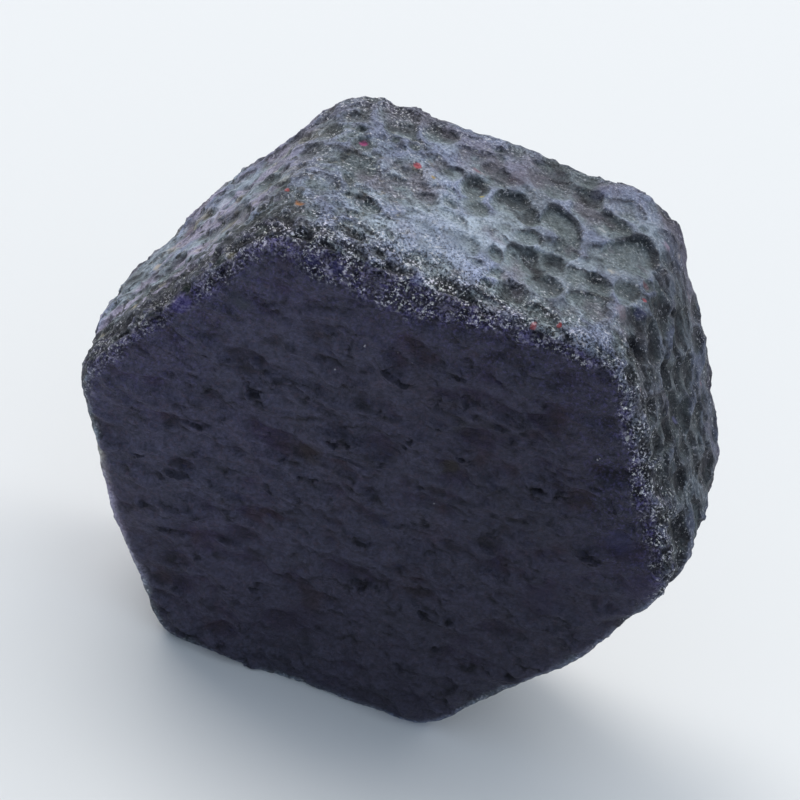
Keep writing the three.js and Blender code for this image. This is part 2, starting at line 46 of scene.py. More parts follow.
CENTRE = np.array([0.0, 0.0, 16.0 * math.cos(math.pi / 6)])
SHARP = 18
SPREAD = np.array([16.0, 7.0, 14.0])
PIT_DEPTH = 1.0
BED_DROP = 0.16
SWELL_RADIUS = 1.9
LEAN = 0.75  # how much deeper a dish is at its steep wall than in the middle
OFFSET = np.array([0.2, -0.61, 0.0])
FACES = [
    ((0.032, -0.1174, 0.9926), 26.984),
    ((-0.8688, 0.0394, 0.4936), 21.13),
    ((0.8799, -0.0872, 0.4671), 20.519),
    ((-0.8642, -0.0668, -0.4987), 7.426),
    ((0.8374, -0.0429, -0.5449), 5.862),
    ((0.0179, -0.9998, -0.0104), 5.382),
    ((-0.0255, 0.9925, -0.1192), 3.727),
    ((0.0, 0.0, -1.0), 0.0),
]
# outline swellings: x, y, z, height
SWELLINGS = [
    (14.5, 5.58, 17.47, 0.09), (15.69, 4.99, 14.74, -0.15), (15.5, 1.4, 14.11, 0.2), (15.12, -3.42, 13.96, 0.12),
    (14.33, -4.74, 12.01, -0.23), (12.63, -4.64, 9.19, 0.3), (10.99, -4.69, 6.72, 0.22), (9.18, -4.7, 3.94, 0.07),
    (7.33, -4.75, 1.41, 0.01), (5.05, -4.83, 0.29, 0.15), (2.32, -4.9, 0.2, 0.01), (-0.5, -4.99, 0.22, 0.08),
    (-3.13, -4.99, 0.19, 0.07), (-5.87, -5.02, 0.23, 0.02), (-8.37, -5.05, 1.11, 0.14), (-10.24, -4.98, 3.73, -0.05),
    (-11.82, -5.08, 6.5, 0.25), (-13.51, -5.06, 9.36, 0.1), (-15.07, -5.19, 12.24, -0.26), (-15.8, -4.39, 14.56, 0.17),
    (-15.9, 0.97, 13.91, 0.19), (-15.58, 4.29, 14.75, -0.21), (-14.18, 4.67, 17.38, -0.12), (-12.81, 5.09, 19.72, 0.38),
    (-11.33, 5.46, 22.29, -0.06), (-9.91, 5.71, 24.8, -0.08), (-8.22, 6.18, 27.17, 0.11), (-5.89, 6.53, 27.88, -0.19),
    (-3.18, 6.52, 27.92, -0.04), (-0.64, 6.62, 27.82, -0.17), (2.09, 6.63, 27.77, 0.14), (4.75, 6.68, 27.69, -0.14),
    (7.72, 6.82, 27.42, 0.13), (9.98, 6.51, 25.96, -0.2), (11.52, 6.14, 23.22, -0.05), (12.98, 5.92, 20.38, 0.14),
]
# pits: middle x, y, z; semi-major vector; semi-minor; depth; steepness of the wall
PITS = [
    (1.31, -5.15, 26.38, -1.27, -0.09, -0.01, 0.69, 0.3, 1.6), (4.13, -4.81, 26.43, 1.21, -0.79, -0.3, 0.85, 0.34, 1.8),
    (6.19, -2.67, 26.64, 0.83, 1.05, 0.07, 1.08, 0.3, 1.8), (6.4, -0.88, 26.84, -0.19, -0.71, -0.07, 0.67, 0.22, 1.6),
    (5.63, 0.24, 27.02, 0.4, 0.62, 0.05, 0.56, 0.14, 1.6), (7.44, 1.82, 27.06, 0.97, 1.59, 0.04, 1.3, 0.42, 1.8),
    (4.04, -1.17, 26.92, 0.01, -0.8, -0.09, 0.62, 0.18, 1.5), (2.4, -1.84, 26.89, 0.55, -1.29, -0.17, 0.99, 0.3, 1.8),
    (1.13, -1.91, 26.92, 0.54, -0.38, -0.06, 0.4, 0.3, 1.3), (1.38, -1, 27.02, 0.6, -0.57, -0.09, 0.6, 0.16, 1.4),
    (0.46, -2.92, 26.83, 0.46, 0.15, 0, 0.35, 0.12, 1.2), (2.26, 0.07, 27.12, 0.67, 0.7, 0.06, 0.72, 0.26, 1.8),
    (2.48, 0.66, 27.18, -0.09, -0.37, -0.04, 0.28, 0.16, 1.2), (0.97, 1.55, 27.34, 0.69, -0.59, -0.09, 0.78, 0.24, 2),
    (-0.95, 1.96, 27.45, -0.08, -0.74, -0.08, 0.58, 0.22, 1.8), (-0.1, 2.95, 27.54, 0.7, 0.3, 0.01, 0.43, 0.2, 1.4),
    (3.81, 1.85, 27.28, 0.92, -1.19, -0.17, 0.96, 0.36, 1.7), (5.3, 3.14, 27.38, 1.06, 0.19, -0.02, 0.67, 0.26, 1.6),
    (4.74, 5.9, 27.72, 0.8, 0.44, 0.01, 0.36, 0.16, 1.3), (2.19, 5.71, 27.79, 0.88, 0.09, -0.02, 0.62, 0.32, 1.4),
    (-0.13, 5.5, 27.84, 0.32, 0.31, 0.02, 0.27, 0.2, 1.2), (-1.52, 4.72, 27.79, 1.17, 0.16, -0.02, 0.3, 0.18, 1.2),
    (-1.94, 5.77, 27.92, 0.58, 0.19, -0, 0.27, 0.12, 1.2), (-2.28, 2.5, 27.55, 0.9, 0.27, 0, 0.66, 0.2, 1.6),
    (-0.92, 4.21, 27.71, 0.97, 0.14, -0.01, 0.6, 0.12, 1.4), (4.86, 4.14, 27.52, 0.42, 0.35, 0.03, 0.52, 0.12, 1.4),
    (1.2, 1.92, 27.37, -0.05, -0.19, -0.02, 0.14, 0.15, 1), (1.3, 3.25, 27.53, 0.14, -0.97, -0.12, 0.82, 0.1, 1.4),
    (3.41, 4.53, 27.61, 1.17, 0.02, -0.04, 0.84, 0.12, 1.3), (6.35, 4.59, 27.5, 1.16, 0.31, -0.04, 0.82, 0.12, 1.3),
    (8.82, 4.59, 26.97, -0.49, -0.71, 0.18, 0.53, 0.16, 1.3), (9.01, 2.19, 26.5, -0.34, -0.65, 0.16, 0.29, 0.2, 1.3),
    (8.56, 0.49, 26.55, -0.19, -0.47, 0.03, 0.29, 0.14, 1.2), (7.63, -0.17, 26.78, 0.25, 0.35, -0.01, 0.29, 0.12, 1.2),
    (8.59, -0.81, 26.35, -0.58, -0.73, 0.22, 0.59, 0.14, 1.3), (9.08, 6.1, 27, -0.28, -0.66, 0.15, 0.25, 0.14, 1.2),
    (9.49, 4.98, 26.5, -0.37, -0.78, 0.27, 0.25, 0.16, 1.2), (7.91, 5.62, 27.44, 0.34, -0.53, -0.14, 0.51, 0.1, 1.2),
    (4.44, 0.91, 27.15, 0.54, 0.29, 0.02, 0.42, 0.1, 1.2), (3.37, 0.19, 27.1, 0.24, -0.5, -0.07, 0.44, 0.1, 1.3),
    (5.38, -5.14, 26.19, -0.62, 0.14, 0.17, 0.29, 0.12, 1.2), (7.07, -3.8, 26.42, 0.85, 0.25, -0.09, 0.55, 0.07, 1.2),
    (-3.51, 5.12, 27.9, 0.7, 0.31, 0.01, 0.33, 0.18, 1.2), (-5.25, 3.33, 27.73, 0.36, 0.47, 0.05, 0.28, 0.18, 1.4),
    (-4.79, 2.96, 27.68, 0.17, 0.22, 0.02, 0.2, 0.12, 1.2), (-3.75, 3.59, 27.73, 0.28, -0.39, -0.05, 0.24, 0.14, 1.3),
    (-6.03, 0.8, 27.44, 0.44, 0.61, 0.07, 0.37, 0.16, 1.5), (-4.65, 0.42, 27.38, 0.46, 0.49, 0.05, 0.31, 0.14, 1.5),
    (-3.43, 1.32, 27.45, -0.08, -0.3, -0.03, 0.23, 0.2, 1.2), (-3.09, 0.58, 27.35, 0.3, -0.17, -0.03, 0.29, 0.12, 1.2),
    (-5.14, -1.82, 27.13, 0.44, -0.47, -0.07, 0.45, 0.34, 1.4), (-4.19, -2.11, 27.07, 0.57, -0.1, -0.03, 0.21, 0.14, 1.2),
    (-5.68, -2.84, 27.02, 0.46, -0.18, -0.03, 0.24, 0.24, 1.3), (-7.24, -4.68, 26.78, 0.89, -0.25, 0.01, 0.33, 0.24, 1.3),
    (-4.24, -2.9, 26.98, 0.19, -0.24, -0.03, 0.27, 0.14, 1.2), (-3.92, -3.32, 26.92, 0.32, -0.07, -0.02, 0.28, 0.16, 1.2),
    (-6.3, -1.09, 27.23, 0.42, 0.1, 0.02, 0.22, 0.12, 1.2), (-7.36, -1.62, 27.11, 0.43, 0.03, 0.05, 0.22, 0.12, 1.2),
    (-6.79, -0.17, 27.31, 0.33, -0.3, -0.01, 0.26, 0.12, 1.2), (-8.53, -0.87, 26.83, -0.2, 0.22, -0.1, 0.21, 0.12, 1.2),
    (-4.56, -0.31, 27.29, 0.47, 0.11, -0, 0.29, 0.1, 1.2), (-3.65, -0.46, 27.25, -0.13, -0.26, -0.03, 0.29, 0.14, 1.2),
    (-3.22, -1.52, 27.11, -0.04, -0.43, -0.05, 0.38, 0.1, 1.3), (-3.09, 2, 27.52, 0.53, 0.28, 0.02, 0.51, 0.1, 1.2),
    (-1.86, 1.25, 27.39, 0.46, 0.21, 0.01, 0.32, 0.14, 1.2), (-7.66, 4.35, 27.56, 0.65, -0.43, 0.23, 0.48, 0.32, 1.5),
    (-7.05, 5.41, 27.84, 0.17, 0.24, 0.06, 0.28, 0.12, 1.2), (-6.63, 4.72, 27.84, -0.02, -0.24, -0.03, 0.19, 0.1, 1.2),
    (-5.49, 4.66, 27.89, 0.17, 0.22, 0.03, 0.2, 0.1, 1.2), (-8.41, 1.19, 27, -0.64, 0.83, -0.36, 0.49, 0.16, 1.5),
    (-8.5, 1.39, 26.95, -0.16, 0.23, -0.11, 0.17, 0.12, 1), (-4.12, 2.97, 27.67, 0.4, -0.21, -0.04, 0.36, 0.1, 1.3),
    (-5.81, 2.12, 27.59, 0.39, 0.23, 0.03, 0.36, 0.1, 1.3), (-7.52, 1.32, 27.37, 0.31, -0.33, 0.04, 0.34, 0.1, 1.3),
    (-7.55, 0.49, 27.28, 0.48, -0.03, 0.1, 0.31, 0.12, 1.3), (-5.67, -0.97, 27.24, 0.38, -0, -0, 0.36, 0.12, 1.3),
    (-6.5, -2.61, 27.05, 0.38, -0.02, 0, 0.29, 0.12, 1.3), (-7.55, -0.49, 27.19, 0.37, -0.19, 0.05, 0.29, 0.1, 1.2),
    (-0.26, -5.04, 26.51, 0.56, 0.03, -0.01, 0.32, 0.14, 1.2), (0.35, -5.04, 26.48, -0.24, 0.35, 0.18, 0.3, 0.16, 1.2),
    (-5.07, -5.4, 26.43, -0.7, -0.06, -0.04, 0.24, 0.18, 1.3), (-7.55, -5.75, 24.52, -0.42, -0.01, -0.25, 0.33, 0.1, 1.2),
    (3.26, -5.55, 24.89, -0.02, 0.02, 0.5, 0.38, 0.22, 1.3), (-7.4, -5.69, 25.7, -0.38, -0, -0.01, 0.26, 0.1, 1.2),
    (-6.31, -5.1, 26.69, 0.47, -0.04, -0.02, 0.22, 0.12, 1.2), (-3.94, -5.53, 26.11, -0.47, -0.01, 0.01, 0.2, 0.12, 1.2),
    (-0.93, -5.55, 25.77, -0.47, -0.01, 0.01, 0.21, 0.12, 1.2), (5.84, -5.49, 24.97, -0.56, -0.02, -0.05, 0.28, 0.1, 1.2),
    (7.99, -5.34, 25.22, -0.42, -0.06, -0.02, 0.31, 0.12, 1.2), (-9.8, -4.83, 25.62, 0.41, 0.25, 0.52, 0.65, 0.26, 1.4),
    (-9.66, -1.28, 25.74, 0.4, -0.43, 0.57, 0.69, 0.24, 1.4), (-10.04, -2.03, 25.21, -0.22, 0.67, -0.38, 0.24, 0.14, 1.2),
    (-10.78, -0.3, 23.86, -0.22, 0.8, -0.45, 0.19, 0.12, 1.2), (-9.86, -3.3, 25.54, 0.22, -0.38, 0.31, 0.31, 0.12, 1.2),
    (-10.49, 2.57, 24.14, 0.2, -0.3, 0.36, 0.37, 0.1, 1.2), (-9.4, 2.21, 25.96, 0.33, 0.12, 0.48, 0.47, 0.08, 1.2),
    (-11.04, -4.05, 23.68, -0.27, 0.49, -0.51, 0.38, 0.12, 1.2), (-11.63, -4.69, 22.68, 0.63, -0.34, 1.1, 0.77, 0.18, 1.3),
    (-12.02, -4.83, 21.99, -0.26, 0.55, -0.39, 0.27, 0.14, 1.2), (-10.7, -2.95, 24.19, -0.27, 0.37, -0.49, 0.36, 0.12, 1.2),
    (-10.45, -5.26, 24.53, -0.37, 0.2, -0.42, 0.24, 0.12, 1.2), (-13.22, -5.52, 19.25, -0.29, -0.07, -0.72, 0.23, 0.26, 1.4),
    (-12.13, -5.52, 21.18, -0.28, 0.02, -0.44, 0.22, 0.22, 1.3), (-12.58, -5.53, 20.36, -0.19, -0.04, -0.46, 0.2, 0.18, 1.3),
    (-13.63, -2.3, 19, -0.36, 0.73, -0.69, 0.49, 0.16, 1.2), (-14.78, -0.86, 16.83, 0.21, -0.92, 0.45, 0.58, 0.16, 1.3),
    (-13.83, -3.61, 18.76, -0.3, 0.82, -0.6, 0.26, 0.14, 1.2), (-15.01, -1.57, 16.46, 0.15, -0.73, 0.34, 0.43, 0.12, 1.2),
    (-15.18, -4.74, 16.34, -0.22, 0.91, -0.39, 0.33, 0.14, 1.3), (-14.14, -5.56, 17.47, -0.27, 0.03, -0.39, 0.19, 0.12, 1.2),
    (-12.63, 0.21, 20.57, 0.32, -0.25, 0.58, 0.51, 0.08, 1.2), (-13.2, 4.75, 19.16, 0.16, -0.97, 0.56, 0.7, 0.08, 1.2),
    (-14.06, 1.22, 17.96, -0.32, 0.41, -0.6, 0.39, 0.1, 1.2), (-11.5, -0.17, 22.58, 0.34, -0.13, 0.6, 0.4, 0.08, 1.2),
    (-15.37, -2.53, 15.82, -0.35, 1.24, -0.85, 0.29, 0.1, 1.2), (-13.18, -5.74, 17.53, -0.57, 0.03, -0.2, 0.34, 0.1, 1.2),
    (-13.34, 0.18, 19.31, 0.28, -0.37, 0.53, 0.43, 0.1, 1.2), (-12.06, 0.02, 21.58, 0.34, -0.14, 0.61, 0.4, 0.08, 1.2),
    (10.38, 2.67, 24.82, -0.31, -0.63, 0.43, 0.43, 0.26, 1.4), (10.9, 2.7, 23.88, -0.32, -0.46, 0.5, 0.44, 0.24, 1.4),
    (10.36, 4.34, 25.16, 0.32, -0.21, -0.58, 0.47, 0.14, 1.2), (9.41, 0.69, 25.91, -0.2, -0.3, 0.18, 0.33, 0.2, 1.3),
    (9.58, -0.44, 25.52, -0.26, -0.5, 0.26, 0.48, 0.16, 1.3), (9.2, -3.28, 25.52, -0.59, -0.42, 0.56, 0.47, 0.2, 1.3),
    (9.37, -1.97, 25.52, -0.34, -0.46, 0.33, 0.33, 0.16, 1.2), (11.03, 0.89, 23.32, -0.3, -0.67, 0.43, 0.43, 0.2, 1.4),
    (11.35, 2.21, 22.96, -0.22, -0.34, 0.35, 0.38, 0.14, 1.2), (11.77, 3.63, 22.44, -0.19, -0.25, 0.31, 0.39, 0.16, 1.2),
    (12.33, 4.38, 21.51, -0.25, -0.3, 0.41, 0.42, 0.14, 1.2), (12.09, 2.89, 21.7, -0.17, -0.32, 0.25, 0.34, 0.16, 1.2),
    (10.29, -0.81, 24.35, -0.2, -0.35, 0.28, 0.28, 0.1, 1.2), (10.88, -2.93, 22.87, -0.35, -0.94, 0.47, 0.25, 0.18, 1.3),
    (10.97, -3.73, 22.56, -0.25, -0.37, 0.39, 0.41, 0.22, 1.4), (11.25, -1.74, 22.41, -0.3, -0.69, 0.44, 0.27, 0.16, 1.3),
    (11.62, -3, 21.47, 0.29, -0.23, -0.58, 0.49, 0.16, 1.3), (13.02, -0.23, 19.36, 0.25, -0.27, -0.52, 0.6, 0.2, 1.3),
    (13.48, 1.6, 18.83, 0.22, -0.3, -0.47, 0.53, 0.16, 1.3), (12.26, -1.09, 20.63, 0.27, -0.11, -0.53, 0.49, 0.18, 1.3),
    (10.77, -5.09, 22.02, -0.22, 0.01, 0.46, 0.21, 0.16, 1.3), (11.15, -5.07, 21.34, -0.3, -0.08, 0.37, 0.29, 0.2, 1.3),
    (11.7, -5.09, 20.14, -0.25, 0.01, 0.52, 0.25, 0.26, 1.4), (11.94, -5.11, 19.61, -0.39, -0.17, 0.06, 0.16, 0.16, 1.2),
    (12.51, -3.07, 19.79, 0.39, -0, -0.74, 0.62, 0.26, 1.4), (13.05, -1.67, 19.03, -0.46, -0.29, 0.81, 0.36, 0.2, 1.3),
    (14.11, 0.37, 17.41, 0.35, 0.21, -0.64, 0.65, 0.16, 1.3), (14.09, 1.58, 17.67, -0.29, -0.72, 0.42, 0.2, 0.12, 1.2),
    (12.55, -4.22, 19.47, -0.26, -0.4, 0.37, 0.42, 0.18, 1.3), (13.02, -4.29, 18.56, -0.28, -0.17, 0.47, 0.32, 0.16, 1.3),
    (13.64, -4.15, 17.43, -0.46, -0.31, 0.78, 0.3, 0.22, 1.3), (14.96, -0.54, 15.51, 0.51, 0.27, -1.15, 0.66, 0.24, 1.4),
    (14.1, -1.71, 17.03, 0.36, 0.02, -0.69, 0.46, 0.14, 1.3), (13.21, -4.9, 17.69, -0.2, 0, 0.41, 0.24, 0.12, 1.2),
    (14.09, -3.96, 16.62, -0.29, -0.66, 0.4, 0.24, 0.14, 1.2), (13.23, -5.18, 16.4, -0.24, -0.01, 0.48, 0.24, 0.18, 1.3),
    (13.7, -5.04, 16.3, -0.41, -0.24, -0.15, 0.24, 0.16, 1.3), (14.25, -4.91, 15.53, -0.17, -0.39, -0.72, 0.41, 0.32, 1.4),
    (14.04, -5.12, 14.87, -0.16, -0.02, 0.33, 0.29, 0.22, 1.3), (14.82, 2.15, 16.36, 0.38, -0.27, -0.81, 0.46, 0.08, 1.2),
    (12.13, -5.3, 16.96, -0, -0.01, -0.48, 0.3, 0.12, 1.2), (13.84, 3.89, 18.59, 0.26, -0.19, -0.52, 0.44, 0.1, 1.2),
    (13.28, 3.58, 19.57, -0.23, -0.35, 0.36, 0.38, 0.1, 1.2), (12.4, 1.69, 20.89, -0.4, -0.31, 0.7, 0.36, 0.12, 1.2),
    (13.02, 2.57, 19.88, 0.28, -0.27, -0.59, 0.43, 0.12, 1.2), (10.03, -4.64, 24.01, -0.46, -0.62, 0.47, 0.25, 0.14, 1.3),
    (10.22, -2.92, 24.08, -0.33, -0.65, 0.45, 0.3, 0.12, 1.2), (10.93, -0.76, 23.2, -0.34, -0.71, 0.5, 0.3, 0.14, 1.2),
    (10.4, 1.72, 24.61, -0.25, -0.5, 0.34, 0.33, 0.14, 1.2), (-9.64, -5.77, 21.98, -1.09, 0, -0.43, 0.8, 0.1, 1.6),
    (-10.19, -5.76, 19.86, -0.81, -0.01, -0.12, 0.48, 0.08, 1.5), (-10.64, -5.76, 18.07, -0.94, -0.01, -0.27, 0.6, 0.06, 1.4),
    (-7.88, -5.75, 22.02, -0.54, -0, -0.46, 0.56, 0.1, 1.4), (-3.58, -5.65, 19.32, -0.77, -0.01, 0.01, 0.6, 0.08, 1.3),
    (-0.08, -5.55, 16.03, -0.86, -0.01, -0.19, 0.61, 0.07, 1.3), (2.78, -5.51, 16.81, -0.6, -0.01, -0.2, 0.43, 0.12, 1.4),
    (-2.37, -5.56, 13.18, -0.77, -0.01, -0.17, 0.5, 0.08, 1.4), (-0.95, -5.54, 13.64, -0.78, -0.01, -0.09, 0.38, 0.12, 1.3),
    (0.75, -5.5, 12.27, -0.26, -0, -0.26, 0.3, 0.16, 1.3), (-0.94, -5.48, 8.07, -1.03, -0.01, -0.46, 0.57, 0.14, 1.4),
    (-2.8, -5.53, 9.06, -0.33, 0, -0.64, 0.38, 0.1, 1.3), (-0.77, -5.49, 9.32, -0.54, -0.01, -0.31, 0.37, 0.08, 1.3),
    (6.97, -5.39, 12.38, -0.64, -0.01, -0.28, 0.25, 0.08, 1.3), (5, -5.39, 9.74, -0.37, -0.01, -0.16, 0.25, 0.12, 1.3),
    (8.06, -5.36, 11.39, -0.54, -0.01, -0.28, 0.31, 0.08, 1.3), (8.82, -5.29, 7.21, -0.6, -0.02, -0.04, 0.53, 0.1, 1.4),
    (10.17, -5.32, 11.34, -0.47, -0.01, -0.14, 0.38, 0.06, 1.3), (-6.33, -5.59, 9.48, -0.46, -0.01, -0.24, 0.25, 0.1, 1.3),
    (-8.28, -5.62, 8.92, -0.68, -0.01, -0.2, 0.32, 0.08, 1.3), (-10.1, -5.65, 9.23, -0.36, -0, -0.16, 0.39, 0.1, 1.3),
    (-12.52, -5.53, 8.86, -0.34, 0, 0.5, 0.35, 0.14, 1.4), (-13.7, -5.68, 12.08, -0.22, -0.02, 0.55, 0.28, 0.12, 1.4),
    (-11.58, -5.61, 8.36, -0.45, 0.05, -0.33, 0.3, 0.08, 1.3), (-6.05, -5.6, 10.42, -0.69, -0.01, 0.09, 0.26, 0.1, 1.3),
    (-4.7, -5.58, 11.24, -0.43, -0.02, 0.85, 0.26, 0.1, 1.3), (-11.17, -5.72, 13.08, -0.31, -0, -0.32, 0.22, 0.08, 1.3),
    (-11.77, -5.69, 10.88, -0.36, 0, -0.22, 0.24, 0.08, 1.3), (-1.53, -5.46, 4.44, -0.61, -0.01, -0.42, 0.5, 0.06, 1.3),
    (11.83, -5.32, 15.85, -1.23, -0.05, -0.26, 0.74, 0.08, 1.4), (7.34, -5.48, 22.64, -0.67, -0.02, 0.03, 0.47, 0.06, 1.3),
    (3.93, -5.54, 21.42, -0.65, -0.01, -0.15, 0.3, 0.06, 1.3), (6.15, -5.51, 24, -0.84, -0.02, -0.14, 0.35, 0.08, 1.3),
    (12.25, -5.26, 17.65, -0.36, -0.06, -0.13, 0.3, 0.08, 1.2), (10.01, -5.38, 16.69, -0.38, -0, -0.33, 0.42, 0.06, 1.2),
    (4.66, -5.39, 8.76, -0.39, -0, -0.25, 0.31, 0.06, 1.2), (-7.27, -5.64, 12.07, -0.26, -0.01, 0.33, 0.35, 0.1, 1.3),
    (-8.2, -5.66, 12.65, -0.77, -0.01, -0.18, 0.25, 0.06, 1.3), (3.02, -5.44, 10.75, -0.6, -0.01, -0.39, 0.49, 0.05, 1.3),
    (4.7, -5.46, 15.57, -0.58, -0.01, -0.06, 0.31, 0.08, 1.3), (7.72, -5.42, 16.63, -0.64, -0.01, -0.24, 0.37, 0.07, 1.3),
    (-2.4, -5.6, 16.94, -1.39, -0.02, -0.52, 0.48, 0.12, 1.3), (-5.35, -5.71, 22.02, -1.29, -0.02, -0.4, 0.35, 0.12, 1.3),
    (-6.59, -5.74, 22.85, -1.55, -0.02, -0.59, 0.4, 0.1, 1.3), (-0.71, -5.62, 21.69, -1.1, -0.02, -0.39, 0.29, 0.06, 1.3),
    (2.03, -5.58, 22.67, -0.55, -0.01, -0.19, 0.23, 0.08, 1.3), (-11.81, -5.75, 15.61, -0.76, -0.01, -0.22, 0.49, 0.06, 1.3),
    (1.45, -5.52, 16.07, -1.05, -0.02, -0.24, 0.37, 0.08, 1.3),
]
